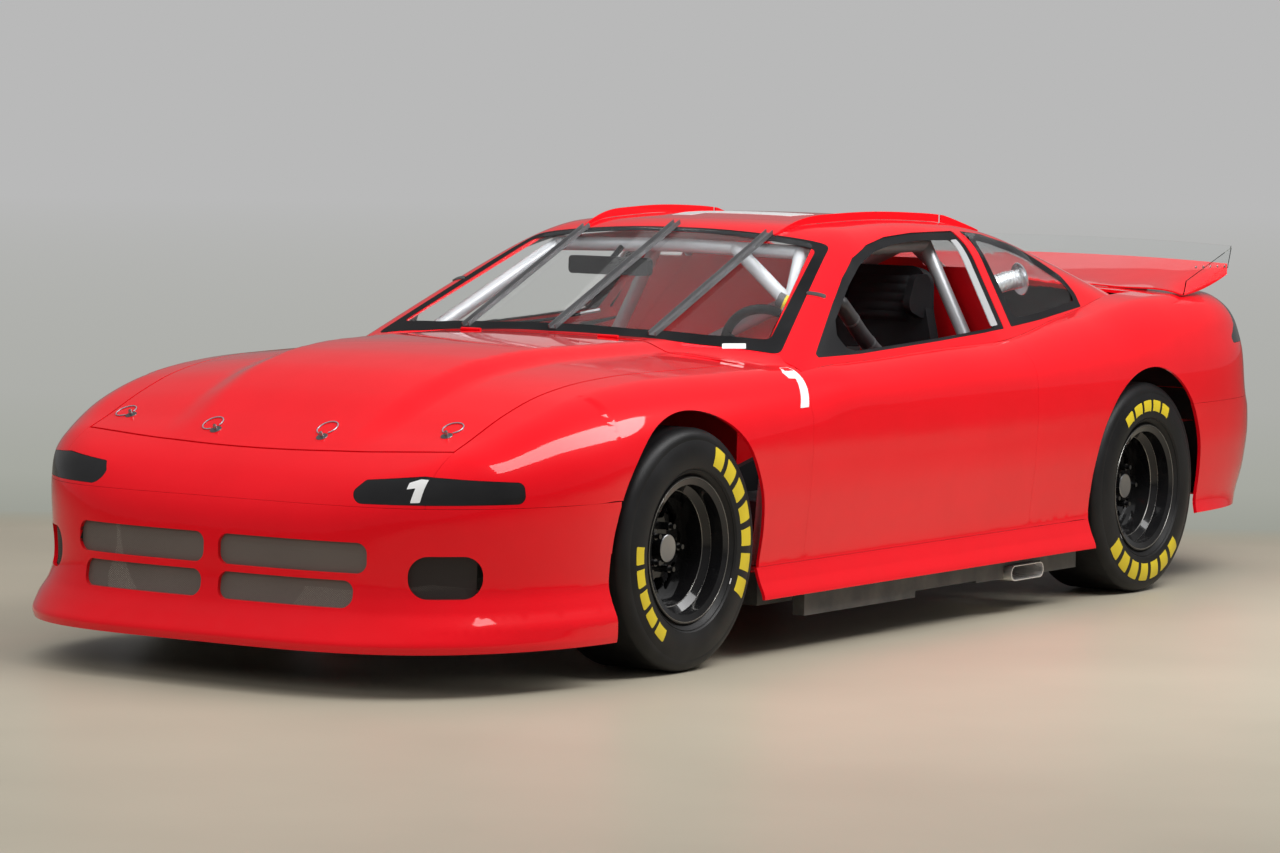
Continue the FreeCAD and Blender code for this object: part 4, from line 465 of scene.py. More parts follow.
# Light metal for the rings on the rim's steps: painted highlight where the gloss black rim shows bright
# reflections.
RIM_HIGHLIGHT_RING = Finish(
    "rim_painted_highlight", (0.34, 0.33, 0.31), (0.22, 0.21, 0.20), roughness=0.3, metallic=0.8,
    relief=0.0001, dust=0.0)
RUBBER = Finish(
    "tyre_rubber", (0.006, 0.006, 0.0065), (0.011, 0.011, 0.012), roughness=0.48, grain_scale=450.0,
    relief=0.0003, dust=0.03, specular=0.25)
YELLOW_PRINT = Finish(
    "yellow_print", (0.72, 0.56, 0.015), (0.64, 0.49, 0.015), roughness=0.55, dust=0.04, relief=0.0002)
WHITE_VINYL = Finish(
    "white_vinyl", (0.80, 0.80, 0.80), (0.74, 0.74, 0.74), roughness=0.3, coat=0.3, dust=0.0,
    relief=0.00003)
LANYARD_WIRE = Finish(
    "coated_lanyard_wire", (0.50, 0.54, 0.60), (0.34, 0.37, 0.42), roughness=0.3, metallic=0.4,
    coat=0.5, relief=0.0002, dust=0.0)
FOAM_BLACK = Finish(
    "padding_black", (0.030, 0.030, 0.032), (0.055, 0.055, 0.057), roughness=0.40, rough_swing=0.12,
    grain_scale=180.0, relief=0.0012, dust=0.0)
SEAT_CLOTH = Finish(
    "seat_cloth_black", (0.008, 0.008, 0.009), (0.014, 0.014, 0.015), roughness=0.85,
    grain_scale=700.0, relief=0.0010, dust=0.0, specular=0.2)
HARNESS_WEB = Finish(
    "harness_webbing", (0.020, 0.020, 0.022), (0.032, 0.031, 0.032), roughness=0.75, grain_scale=900.0,
    relief=0.0006, dust=0.0)
DUCT_SILVER = Finish(
    "duct_silver", (0.62, 0.64, 0.66), (0.50, 0.52, 0.54), roughness=0.22, rough_swing=0.08,
    metallic=0.7, relief=0.0004, dust=0.0)
CLEAR = ClearFinish("clear_sheet", (0.97, 0.98, 0.98))
WIRE_MESH = MeshFinish("wire_mesh")
DARK_MESH = MeshFinish("dark_wire_mesh", (0.018, 0.013, 0.012))

SLOT_FINISH: dict[str, AnyFinish] = {
    Slot.RED_BODY.value: RED_PAINT,
    Slot.CLEAR_GLASS.value: CLEAR,
    Slot.DARK_COVER.value: DARK_GLOSS,
    Slot.MESH.value: WIRE_MESH,
    Slot.GREY_FRAME.value: FRAME_GREY,
    Slot.RED_SHEET.value: CABIN_RED_PAINTED_LIGHT,
    Slot.CAGE.value: CAGE_SILVER,
    Slot.BLACK_TRIM.value: MATT_BLACK,
    Slot.COLUMN.value: BARE_STEEL,
    Slot.ENGINE.value: CAST_IRON,
    Slot.DRIVELINE.value: CAST_IRON,
    Slot.TANK.value: MATT_BLACK,
    Slot.EXHAUST.value: POLISHED,
    Slot.WHEEL_BLACK.value: WHEEL_GLOSS,
    Slot.TYRE.value: RUBBER,
}

NODE_FINISH: dict[str, Finish] = {
    "windshield_straps": STRAP_GREY,
    "mirror": MATT_BLACK,
    "interior_panels": CABIN_RED_PAINTED_LIGHT,
}


class Paintshop:
    """Keeps each finish's material, built once."""

    def __init__(self) -> None:
        """Starts with the shared groups and an empty rack."""
        self.shelf = GroupShelf()
        self.rack: dict[str, bpy.types.Material] = {}

    def mix(self, finish: AnyFinish) -> bpy.types.Material:
        """Returns the finish's material, building it at first use."""
        if finish.name not in self.rack:
            self.rack[finish.name] = finish.material(self.shelf)
        return self.rack[finish.name]

    def dress_frame(self) -> None:
        """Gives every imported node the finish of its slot."""
        for row in frame["record"]["subparts"]:
            material = self.mix(NODE_FINISH.get(row["node"], SLOT_FINISH[row["material_slot"]]))
            node = frame["nodes"][row["node"]]
            node.data.materials.clear()
            node.data.materials.append(material)


# ---- the car's outer form ----------------------------------------------------

@dataclass(frozen=True)
class SmoothTable:
    """A curve through a table's points, monotone between them and straight beyond its ends.

    Args:
        keys: Places along the curve.
        values: Values at those places.
    """

    keys: tuple[float, ...]
    values: tuple[float, ...]

    def at(self, places: np.ndarray) -> np.ndarray:
        """Reads the curve.

        Args:
            places: Where to read it.

        Returns:
            The value at each place.
        """
        keys = np.asarray(self.keys)
        values = np.asarray(self.values)
        steps = np.diff(values) / np.diff(keys)
        slopes = np.concatenate(([steps[0]], np.zeros(len(keys) - 2), [steps[-1]]))
        before, after = steps[:-1], steps[1:]
        same = before * after > 0
        slopes[1:-1][same] = 2 * before[same] * after[same] / (before[same] + after[same])
        index = np.clip(np.searchsorted(keys, places) - 1, 0, len(keys) - 2)
        span = keys[index + 1] - keys[index]
        t = (places - keys[index]) / span
        curve = ((2 * t ** 3 - 3 * t ** 2 + 1) * values[index]
                 + (t ** 3 - 2 * t ** 2 + t) * span * slopes[index]
                 + (3 * t ** 2 - 2 * t ** 3) * values[index + 1]
                 + (t ** 3 - t ** 2) * span * slopes[index + 1])
        low = values[0] + (places - keys[0]) * steps[0]
        high = values[-1] + (places - keys[-1]) * steps[-1]
        return np.where(places <= keys[0], low, np.where(places >= keys[-1], high, curve))


def columns(rows: Sequence[Sequence[float]]) -> list[SmoothTable]:
    """Turns a table, whose first column is the place, into one curve for each other column."""
    turned = list(zip(*rows))
    return [SmoothTable(turned[0], values) for values in turned[1:]]


def ease(t: np.ndarray) -> np.ndarray:
    """Smooth step from 0 to 1."""
    t = np.clip(t, 0.0, 1.0)
    return t * t * (3 - 2 * t)


def round_max(first: np.ndarray, second: np.ndarray, radius: np.ndarray | float) -> np.ndarray:
    """Larger of two distances, with the corner between them rounded."""
    h = np.maximum(radius - np.abs(first - second), 0.0) / radius
    return np.maximum(first, second) + h * h * radius / 4


class BodyForm:
    """The body and cabin as signed distances, in millimetres from the front axle's line."""

    PLAN = [
        # height, nose, half width at the doors, tail
        (110.0, -1098.0, 925.0, 3620.0),
        (140.0, -1108.0, 930.0, 3660.0),
        (175.0, -1080.0, 930.0, 3700.0),
        (230.0, -1036.0, 910.0, 3760.0),
        (280.0, -1024.0, 897.0, 3815.0),
        (380.0, -1020.0, 906.0, 3866.0),
        (480.0, -1014.0, 917.0, 3874.0),
        (560.0, -995.0, 921.0, 3862.0),
        (620.0, -968.0, 924.0, 3826.0),
        (680.0, -955.0, 923.0, 3812.0),
        (750.0, -950.0, 918.0, 3806.0),
        (850.0, -940.0, 893.0, 3790.0),
        (950.0, -930.0, 850.0, 3740.0),
    ]
    TOP = [
        # place along the car, height, drop at 700 out, bulge rise, bulge half width, shoulder
        (-1100.0, 410.0, 0.0, 0.0, 300.0, 40.0),
        (-1000.0, 500.0, 0.0, 0.0, 300.0, 45.0),
        (-900.0, 592.0, 5.0, 0.0, 310.0, 50.0),
        (-800.0, 650.0, 12.0, 2.0, 320.0, 80.0),
        (-700.0, 695.0, 20.0, 10.0, 335.0, 125.0),
        (-550.0, 762.0, 28.0, 20.0, 350.0, 175.0),
        (-384.0, 815.0, 32.0, 26.0, 365.0, 210.0),
        (-200.0, 846.0, 34.0, 30.0, 380.0, 205.0),
        (0.0, 862.0, 36.0, 30.0, 392.0, 200.0),
        (300.0, 868.0, 36.0, 28.0, 410.0, 175.0),
        (600.0, 872.0, 36.0, 25.0, 425.0, 150.0),
        (900.0, 872.0, 30.0, 20.0, 430.0, 110.0),
        (1500.0, 885.0, 28.0, 0.0, 430.0, 110.0),
        (2000.0, 918.0, 44.0, 0.0, 430.0, 110.0),
        (2500.0, 965.0, 48.0, 0.0, 430.0, 130.0),
        (3000.0, 985.0, 24.0, 0.0, 430.0, 130.0),
        (3400.0, 980.0, 16.0, 0.0, 430.0, 100.0),
        (3700.0, 955.0, 14.0, 0.0, 430.0, 72.0),
        (3900.0, 925.0, 14.0, 0.0, 430.0, 60.0),
    ]
    ROOF = [
        # place along the car, height on the centre line
        (1150.0, 1178.0),
        (1300.0, 1211.0),
        (1500.0, 1229.0),
        (1800.0, 1238.0),
        (2100.0, 1230.0),
        (2350.0, 1200.0),
        (2600.0, 1137.0),
        (2850.0, 1062.0),
        (3100.0, 985.0),
        (3350.0, 905.0),
    ]
    NOSE_START = -340.0
    TAIL_START = 2950.0
    NOSE_POWER = 3.7
    TAIL_POWER = 4.6
    TAIL_DEPTH_POWER = 3.4
    WAIST = ((18.0, 300.0, -1.0), (10.0, 2700.0, 1.0))
    WAIST_RUN = 700.0
    BULGE_EDGE = 110.0
    ROOF_DROP = 22.0
    SCREEN_FOOT = (588.0, 897.0)
    SCREEN_SLOPE = 0.4485
    SCREEN_SWEEP = 0.0004
    CABIN_LOW = (806.0, 860.0)
    CABIN_LEAN = 0.66
    CABIN_TAPER = (0.085, 1900.0)
    ROOF_SHOULDER = 95.0
    SCREEN_SHOULDER = 36.0

    def __init__(self) -> None:
        """Makes the curves from the tables."""
        self.nose, self.side, self.tail = columns(self.PLAN)
        self.height, self.drop, self.bulge, self.bulge_half, self.shoulder = columns(self.TOP)
        self.roof, = columns(self.ROOF)

    def plan_distance(self, x: np.ndarray, y: np.ndarray, z: np.ndarray) -> np.ndarray:
        """How far points lie outside the plan outline at their height."""
        width = self.side.at(z)
        for pull, start, way in self.WAIST:
            width = width - pull * ease(way * (y - start) / self.WAIST_RUN)
        nose_depth = self.NOSE_START - self.nose.at(z)
        tail_depth = self.tail.at(z) - self.TAIL_START
        ahead = np.maximum(self.NOSE_START - y, 0.0) / nose_depth
        behind = np.maximum(y - self.TAIL_START, 0.0) / tail_depth
        power = np.where(y < self.NOSE_START, self.NOSE_POWER, self.TAIL_POWER)
        across = np.abs(x) / width
        level = across ** power + ahead ** 2 + behind ** self.TAIL_DEPTH_POWER - 1
        slope_x = power * across ** (power - 1) / width
        slope_y = (-2 * ahead / nose_depth
                   + self.TAIL_DEPTH_POWER * behind ** (self.TAIL_DEPTH_POWER - 1) / tail_depth)
        return level / np.maximum(np.hypot(slope_x, slope_y), 0.0006)

    def top(self, x: np.ndarray, y: np.ndarray) -> np.ndarray:
        """Height of the hood, shoulders and deck."""
        height = self.height.at(y) - self.drop.at(y) * (np.abs(x) / 700) ** 2.2
        reach = self.bulge_half.at(y) + self.BULGE_EDGE / 2 - np.abs(x)
        return height + self.bulge.at(y) * ease(reach / self.BULGE_EDGE)

    def body(self, points: np.ndarray) -> np.ndarray:
        """Signed distance to the lower body."""
        x, y, z = points.T
        step = 5.0
        slope_x = (self.top(x + step, y) - self.top(x - step, y)) / (2 * step)
        slope_y = (self.top(x, y + step) - self.top(x, y - step)) / (2 * step)
        over = (z - self.top(x, y)) / np.sqrt(1 + slope_x ** 2 + slope_y ** 2)
        return round_max(self.plan_distance(x, y, z), over, self.shoulder.at(y))

    def cabin(self, points: np.ndarray) -> np.ndarray:
        """Signed distance to the roof, side glass and windshield surfaces."""
        x, y, z = points.T
        over = (z - self.roof.at(y) + self.ROOF_DROP * (np.abs(x) / 500) ** 2.2) * 0.96
        half = self.CABIN_LOW[0] - self.CABIN_LEAN * (z - self.CABIN_LOW[1])
        half = half - self.CABIN_TAPER[0] * np.maximum(y - self.CABIN_TAPER[1], 0.0) ** 1.12 / 2.2
        aside = (np.abs(x) - half) / math.hypot(1, self.CABIN_LEAN)
        foot, low = self.SCREEN_FOOT
        screen = foot + (z - low) / self.SCREEN_SLOPE + self.SCREEN_SWEEP * x * x
        ahead = (screen - y) * self.SCREEN_SLOPE / math.hypot(1, self.SCREEN_SLOPE)
        return round_max(round_max(over, aside, self.ROOF_SHOULDER), ahead, self.SCREEN_SHOULDER)


Distance = Callable[[np.ndarray], np.ndarray]
Depths = tuple[float, float]


def slope_of(distance: Distance, points: np.ndarray, step: float = 2.0) -> np.ndarray:
    """Gradient of a distance at points, by differences."""
    found = np.empty_like(points)
    for axis in range(3):
        shift = np.zeros(3)
        shift[axis] = step
        found[:, axis] = (distance(points + shift) - distance(points - shift)) / (2 * step)
    return found


def to_drawing(points: np.ndarray) -> np.ndarray:
    """Frame metres to millimetres from the front axle's line."""
    return (points - np.array((0.0, FRONT_AXLE_Y, 0.0))) * 1000.0


def to_frame(points: np.ndarray) -> np.ndarray:
    """Millimetres from the front axle's line to frame metres."""
    return points / 1000.0 + np.array((0.0, FRONT_AXLE_Y, 0.0))


@dataclass
class SmoothPanels:
    """Finely divided copies of the outer panels, laid exactly onto the body's form.

    Args:
        form: The body's form.
        shop: Where finishes come from.
        reach: Farthest that a packed face may lie from its depth and still be laid there, in mm.
        square: Least cosine between a packed face and the form for it to be laid.
        edge: Longest edge left on a laid surface, in metres.
        passes: Most rounds of dividing.
        laid_within: How near to its depth a laid point is, in mm.
        deep_share: Share of the panel's thickness below which a face is on its inner side.
        inward: Least cosine by which such a face turns away from the form.
        nearings: Steps by which a point comes onto its depth.
        even: Least cosine between a laid face and the form's normals for the face to take them.
    """

    form: BodyForm
    shop: Paintshop
    reach: float = 7.0
    square: float = 0.8
    edge: float = 0.045
    passes: int = 5
    laid_within: float = 0.3
    deep_share: float = 0.55
    inward: float = 0.3
    nearings: int = 3
    even: float = 0.7

    def copy_node(self, node: str) -> bmesh.types.BMesh:
        """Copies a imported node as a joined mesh."""
        sheet = bmesh.new()
        sheet.from_mesh(frame["nodes"][node].data)
        bmesh.ops.remove_doubles(sheet, verts=sheet.verts, dist=2e-5)
        return sheet

    def layer(self, points: np.ndarray, distance: Distance, depths: Depths) -> np.ndarray:
        """Which depth under the form each laid point lies at.

        Args:
            points: Points in drawing millimetres.
            distance: The form's signed distance.
            depths: Depths of the panel's outer and inner faces under the form.

        Returns:
            An index into depths for each point, or -1 for one that lies on none.
        """
        value = distance(points)
        found = np.full(len(points), -1)
        for index, depth in enumerate(depths):
            found[np.abs(value + depth) < self.laid_within] = index
        return found

    def sort_vertices(self, sheet: bmesh.types.BMesh, distance: Distance, depths: Depths) -> np.ndarray:
        """Which of the panel's two faces each vertex belongs to, judged by the faces that meet there.

        Args:
            sheet: The panel's mesh, in the frame.
            distance: The form's signed distance.
            depths: Depths of the panel's outer and inner faces under the form.

        Returns:
            Zero for the outer face, one for the inner face, or -1 for neither.
        """
        sheet.verts.index_update()
        sheet.normal_update()
        centres = to_drawing(np.array([face.calc_center_median()[:] for face in sheet.faces]))
        normals = np.array([face.normal[:] for face in sheet.faces])
        slope = slope_of(distance, centres)
        facing = (slope * normals).sum(axis=1) / np.linalg.norm(slope, axis=1)
        value = distance(centres)
        outer = (facing > self.square) & (np.abs(value + depths[0]) < self.reach)
        inner = (facing < -self.square) & (np.abs(value + depths[1]) < self.reach)
        found = np.full(len(sheet.verts), -1)
        corners = [[v.index for v in face.verts] for face in sheet.faces]
        for index, kind in ((1, inner), (0, outer)):
            for face in np.flatnonzero(kind):
                found[corners[face]] = index
        return found

    def lay(self, points: np.ndarray, distance: Distance, layers: np.ndarray, depths: Depths) -> np.ndarray:
        """Moves each point that has a layer onto it."""
        laid = points.copy()
        for index, depth in enumerate(depths):
            chosen = layers == index
            if not chosen.any():
                continue
            part = laid[chosen]
            for _ in range(self.nearings):
                slope = slope_of(distance, part)
                length = np.maximum((slope ** 2).sum(axis=1), 0.05)
                part = part - slope * ((distance(part) + depth) / length)[:, None]
            laid[chosen] = part
        return laid

    def make(self, node: str, body: Body, distance: Distance, depths: Depths,
             inside: AnyFinish | None = None) -> bpy.types.Object:
        """Makes the smooth red copy of one panel, which stands for its node.

        Args:
            node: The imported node.
            body: The body that it rides on.
            distance: The form that its faces follow.
            depths: Depths of its outer and inner faces under the form.
            inside: Finish of its inner side, black if none is given.

        Returns:
            The new piece.
        """
        sheet = self.copy_node(node)
        layers = self.settle(sheet, distance, depths)
        for _ in range(self.passes):
            long_edges = []
            for edge in sheet.edges:
                a, b = (v.index for v in edge.verts)
                if layers[a] >= 0 and layers[a] == layers[b] and edge.calc_length() > self.edge:
                    long_edges.append(edge)
            if not long_edges:
                break
            bmesh.ops.subdivide_edges(sheet, edges=long_edges, cuts=1)
            bmesh.ops.triangulate(sheet, faces=[f for f in sheet.faces if len(f.verts) > 3])
            layers = self.settle(sheet, distance, depths)
        mesh = bpy.data.meshes.new(node + "_panel")
        sheet.to_mesh(mesh)
        sheet.free()
        self.set_normals(mesh, distance, depths)
        piece = place_piece(mesh, node + "_panel", body, self.shop.mix(RED_PAINT), Slot.RED_BODY, [node])
        self.seal_inside(mesh, distance, depths, inside or UNDERSEAL)
        return piece

    def seal_inside(self, mesh: bpy.types.Mesh, distance: Distance, depths: Depths,
                    inside: AnyFinish) -> None:
        """Gives the faces on the panel's inner side their own finish, such as a wheel house's black."""
        mesh.materials.append(self.shop.mix(inside))
        count = len(mesh.polygons)
        places = np.empty(count * 3)
        normals = np.empty(count * 3)
        mesh.polygons.foreach_get("center", places)
        mesh.polygons.foreach_get("normal", normals)
        points = to_drawing(places.reshape(count, 3))
        slope = slope_of(distance, points)
        facing = (slope * normals.reshape(count, 3)).sum(axis=1)
        deep = distance(points) < -self.deep_share * depths[1]
        mesh.polygons.foreach_set("material_index", (deep & (facing < -self.inward)).astype(np.int32))

    def settle(self, sheet: bmesh.types.BMesh, distance: Distance, depths: Depths) -> np.ndarray:
        """Lays every vertex of the two faces onto the form and returns which face each belongs to."""
        layers = self.sort_vertices(sheet, distance, depths)
        points = to_drawing(np.array([v.co[:] for v in sheet.verts]))
        laid = to_frame(self.lay(points, distance, layers, depths))
        for vertex, place, layer in zip(sheet.verts, laid, layers):
            if layer >= 0:
                vertex.co = place
        return layers

    def set_normals(self, mesh: bpy.types.Mesh, distance: Distance, depths: Depths) -> None:
        """Gives each laid face the form's own normals, and leaves the edges flat."""
        count = len(mesh.vertices)
        places = np.empty(count * 3)
        mesh.vertices.foreach_get("co", places)
        points = to_drawing(places.reshape(count, 3))
        layers = self.layer(points, distance, depths)
        slope = slope_of(distance, points)
        slope /= np.linalg.norm(slope, axis=1)[:, None]
        loops = np.empty(len(mesh.loops), dtype=int)
        mesh.loops.foreach_get("vertex_index", loops)
        face_normals = np.empty(len(mesh.polygons) * 3)
        mesh.polygons.foreach_get("normal", face_normals)
        face_normals = face_normals.reshape(-1, 3)
        corners = loops.reshape(-1, 3)
        normals = slope[corners]
        facing = (normals * face_normals[:, None, :]).sum(axis=2)
        lowest = layers[corners].min(axis=1)
        level = (lowest >= 0) & (lowest == layers[corners].max(axis=1))
        smooth_face = level & (np.abs(facing) > self.even).all(axis=1)
        turned = normals * np.sign(facing)[:, :, None]
        chosen = np.where(smooth_face[:, None, None], turned, face_normals[:, None, :])
        mesh.polygons.foreach_set("use_smooth", np.ones(len(mesh.polygons), dtype=bool))
        mesh.normals_split_custom_set([Vector(n) for n in chosen.reshape(-1, 3)])


def place_piece(mesh: bpy.types.Mesh, name: str, body: Body, material: bpy.types.Material, slot: Slot,
                stands_for: Iterable[str] = ()) -> bpy.types.Object:
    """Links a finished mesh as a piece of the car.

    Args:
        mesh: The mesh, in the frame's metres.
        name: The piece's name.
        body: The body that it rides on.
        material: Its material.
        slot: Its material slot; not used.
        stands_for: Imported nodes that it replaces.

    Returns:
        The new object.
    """
    mesh.materials.clear()
    mesh.materials.append(material)
    piece = bpy.data.objects.new(name, mesh)
    bpy.context.scene.collection.objects.link(piece)
    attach(piece, body.value)
    replaced = list(stands_for)
    if replaced:
        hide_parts(*replaced)
    LOG.info("%s: %d faces", name, len(mesh.polygons))
    return piece


@dataclass
class BodyShell:
    """The red outer skin."""

    form: BodyForm
    shop: Paintshop
    skin: float = 10.0
    bumper_skin: float = 12.0
    body_panels: tuple[str, ...] = ("header_panel", "fender_left", "fender_right", "door_left", "door_right",
                                    "quarter_left", "quarter_right", "tail_panel", "side_skirts")
    bumpers: tuple[str, ...] = ("front_bumper", "rear_bumper")

    def build(self) -> None:
        """Lays every outer panel onto the form."""
        panels = SmoothPanels(self.form, self.shop)
        body, cabin = self.form.body, self.form.cabin
        jobs = [(node, Body.CHASSIS, body, self.skin, CABIN_RED_PAINTED_LIGHT if node.startswith("door") else None)
                for node in self.body_panels]
        jobs += [(node, Body.CHASSIS, body, self.bumper_skin, None) for node in self.bumpers]
        jobs += [("hood", Body.HOOD, body, self.skin, None),
                 ("deck_lid", Body.DECK_LID, body, self.skin, None),
                 ("roof_shell", Body.CHASSIS, cabin, self.skin, CABIN_RED_PAINTED_LIGHT)]
        for node, rides_on, distance, skin, inside in jobs:
            panels.make(node, rides_on, distance, (0.0, skin), inside)


# ---- laid trim ---------------------------------------------------------------

Outline = Sequence[tuple[float, float]]
Corners = tuple[tuple[float, float], ...]
Cast = Callable[[np.ndarray, float], np.ndarray]
Lay = Callable[[np.ndarray, np.ndarray, np.ndarray], np.ndarray]
SHARP_ANGLE = 35.0


@dataclass(frozen=True)
class Wheel:
    """One of the four wheels.

    Args:
        body: The body that turns.
        side: LEFT or RIGHT.
        centre_y: Place of its axle along the car, in drawing millimetres.
    """

    body: Body
    side: float
    centre_y: float

    @property
    def name(self) -> str:
        """Its end and side, as in the names of its pieces."""
        return self.body.value.removeprefix("wheel_")


def wheels() -> Iterator[Wheel]:
    """Lists the four wheels, front first and left before right."""
    for index, body in enumerate(WHEEL_BODIES):
        axle_y = (FRONT_AXLE_Y, REAR_AXLE_Y)[index // 2]
        yield Wheel(body, (LEFT, RIGHT)[index % 2], (axle_y - FRONT_AXLE_Y) * 1000.0)


def rounded(outline: Outline, radius: float, steps: int = 4, sides: int = 8) -> np.ndarray:
    """Closed outline with rounded corners and evenly divided sides.

    Args:
        outline: Its corners.
        radius: How far each rounding starts from its corner.
        steps: Divisions of each rounding.
        sides: Divisions of each side.

    Returns:
        The points, in the same count and order for every outline of as many corners.
    """
    corners = np.asarray(outline, dtype=float)
    found = []
    for index, here in enumerate(corners):
        before = corners[index - 1] - here
        after = corners[(index + 1) % len(corners)] - here
        cut = min(radius, 0.45 * np.linalg.norm(before), 0.45 * np.linalg.norm(after))
        start = here + before / np.linalg.norm(before) * cut
        end = here + after / np.linalg.norm(after) * cut
        for t in np.linspace(0.0, 1.0, steps + 1):
            found.append((1 - t) ** 2 * start + 2 * t * (1 - t) * here + t * t * end)
        ahead = corners[(index + 1) % len(corners)]
        reach = min(radius, 0.45 * np.linalg.norm(after),
                    0.45 * np.linalg.norm(corners[(index + 2) % len(corners)] - ahead))
        stop = ahead - after / np.linalg.norm(after) * reach
        for t in np.linspace(0.0, 1.0, sides + 1)[1:-1]:
            found.append(end * (1 - t) + stop * t)
    return np.array(found)


class FormFace:
    """A form's surface, reached from inside along one direction."""

    SIDE_START = 250.0
    TOP_START = 560.0
    NOSE_START = -500.0
    HALVINGS = 28

    def __init__(self, distance: Distance) -> None:
        """Keeps the form's distance."""
        self.distance = distance

    def reach(self, starts: np.ndarray, way: Point, lift: float, span: float = 700.0) -> np.ndarray:
        """Casts points onto the surface.

        Args:
            starts: Points inside the form, in drawing millimetres.
            way: Unit direction outward.
            lift: Distance above the surface.
            span: Longest way to go.

        Returns:
            The points at that distance from the surface.
        """
        low = np.zeros(len(starts))
        high = np.full(len(starts), span)
        direction = np.asarray(way)
        for _ in range(self.HALVINGS):
            middle = (low + high) / 2
            inside = self.distance(starts + middle[:, None] * direction) < lift
            low = np.where(inside, middle, low)
            high = np.where(inside, high, middle)
        return starts + low[:, None] * direction

    def side(self, outline: np.ndarray, side: float, lift: float) -> np.ndarray:
        """Lays an outline of (y, z) points on the car's side."""
        starts = np.column_stack((np.full(len(outline), self.SIDE_START * side), outline))
        return self.reach(starts, (side, 0.0, 0.0), lift)

    def on_side(self, side: float) -> Cast:
        """Returns the cast onto one side of the car."""
        return lambda outline, lift: self.side(outline, side, lift)

    def ahead(self, outline: np.ndarray, lift: float) -> np.ndarray:
        """Lays an outline of (x, z) points on the car's nose."""
        starts = np.column_stack((outline[:, 0], np.full(len(outline), self.NOSE_START), outline[:, 1]))
        return self.reach(starts, (0.0, -1.0, 0.0), lift)

    def over(self, outline: np.ndarray, lift: float) -> np.ndarray:
        """Lays an outline of (x, y) points on the car's upper face."""
        starts = np.column_stack((outline, np.full(len(outline), self.TOP_START)))
        return self.reach(starts, (0.0, 0.0, 1.0), lift)


def mesh_from(name: str, points: np.ndarray, faces: Sequence[Sequence[int]],
              sharp: float = SHARP_ANGLE) -> bpy.types.Mesh:
    """Makes a smooth-shaded mesh from drawing millimetres.

    Args:
        name: The mesh's name.
        points: Its points.
        faces: Its faces.
        sharp: Angle above which edges stay sharp, in degrees.

    Returns:
        The mesh, in frame metres, with its faces turned outward.
    """
    sheet = bmesh.new()
    vertices = [sheet.verts.new(place) for place in to_frame(np.asarray(points, dtype=float))]
    for face in faces:
        corners = [vertices[index] for index in face]
        if len(set(corners)) > 2:
            sheet.faces.new(corners)
    bmesh.ops.recalc_face_normals(sheet, faces=sheet.faces)
    mesh = bpy.data.meshes.new(name)
    sheet.to_mesh(mesh)
    sheet.free()
    mesh.polygons.foreach_set("use_smooth", np.ones(len(mesh.polygons), dtype=bool))
    mesh.set_sharp_from_angle(angle=math.radians(sharp))
    return mesh


def join_meshes(name: str, meshes: Sequence[bpy.types.Mesh]) -> bpy.types.Mesh:
    """Joins meshes into one and frees them."""
    sheet = bmesh.new()
    for mesh in meshes:
        sheet.from_mesh(mesh)
        bpy.data.meshes.remove(mesh)
    joined = bpy.data.meshes.new(name)
    sheet.to_mesh(joined)
    sheet.free()
    joined.set_sharp_from_angle(angle=math.radians(SHARP_ANGLE))
    return joined


def ring_faces(rings: int, count: int, closed_across: bool = True) -> list[tuple[int, ...]]:
    """Faces between rings of points that each close on themselves.

    Args:
        rings: How many rings.
        count: Points in each ring.
        closed_across: True where the last ring joins the first, and false where both ends get a cap.

    Returns:
        The corners of each face.
    """
    faces = []
    for row in range(rings if closed_across else rings - 1):
        here, after = row * count, (row + 1) % rings * count
        for index in range(count):
            ahead = (index + 1) % count
            faces.append((here + index, here + ahead, after + ahead, after + index))
    if not closed_across:
        faces.append(tuple(range(count)))
        faces.append(tuple(range((rings - 1) * count, rings * count)))
    return faces


def ring_between(name: str, cast: Cast, outer: np.ndarray, inner: np.ndarray, lift: float,
                 low: float) -> bpy.types.Mesh:
    """Solid ring on a surface, between two outlines.

    Args:
        name: The mesh's name.
        cast: Lays an outline on the surface at a lift.
        outer: Outer outline.
        inner: Inner outline, paired point by point.
        lift: Height of its face over the surface.
        low: Height of its underside.

    Returns:
        The mesh.
    """
    middle = (outer + inner) / 2
    rows = [cast(outer, low), cast(outer, lift), cast(middle, lift), cast(inner, lift), cast(inner, low)]
    return mesh_from(name, np.vstack(rows), ring_faces(len(rows), len(outer)))


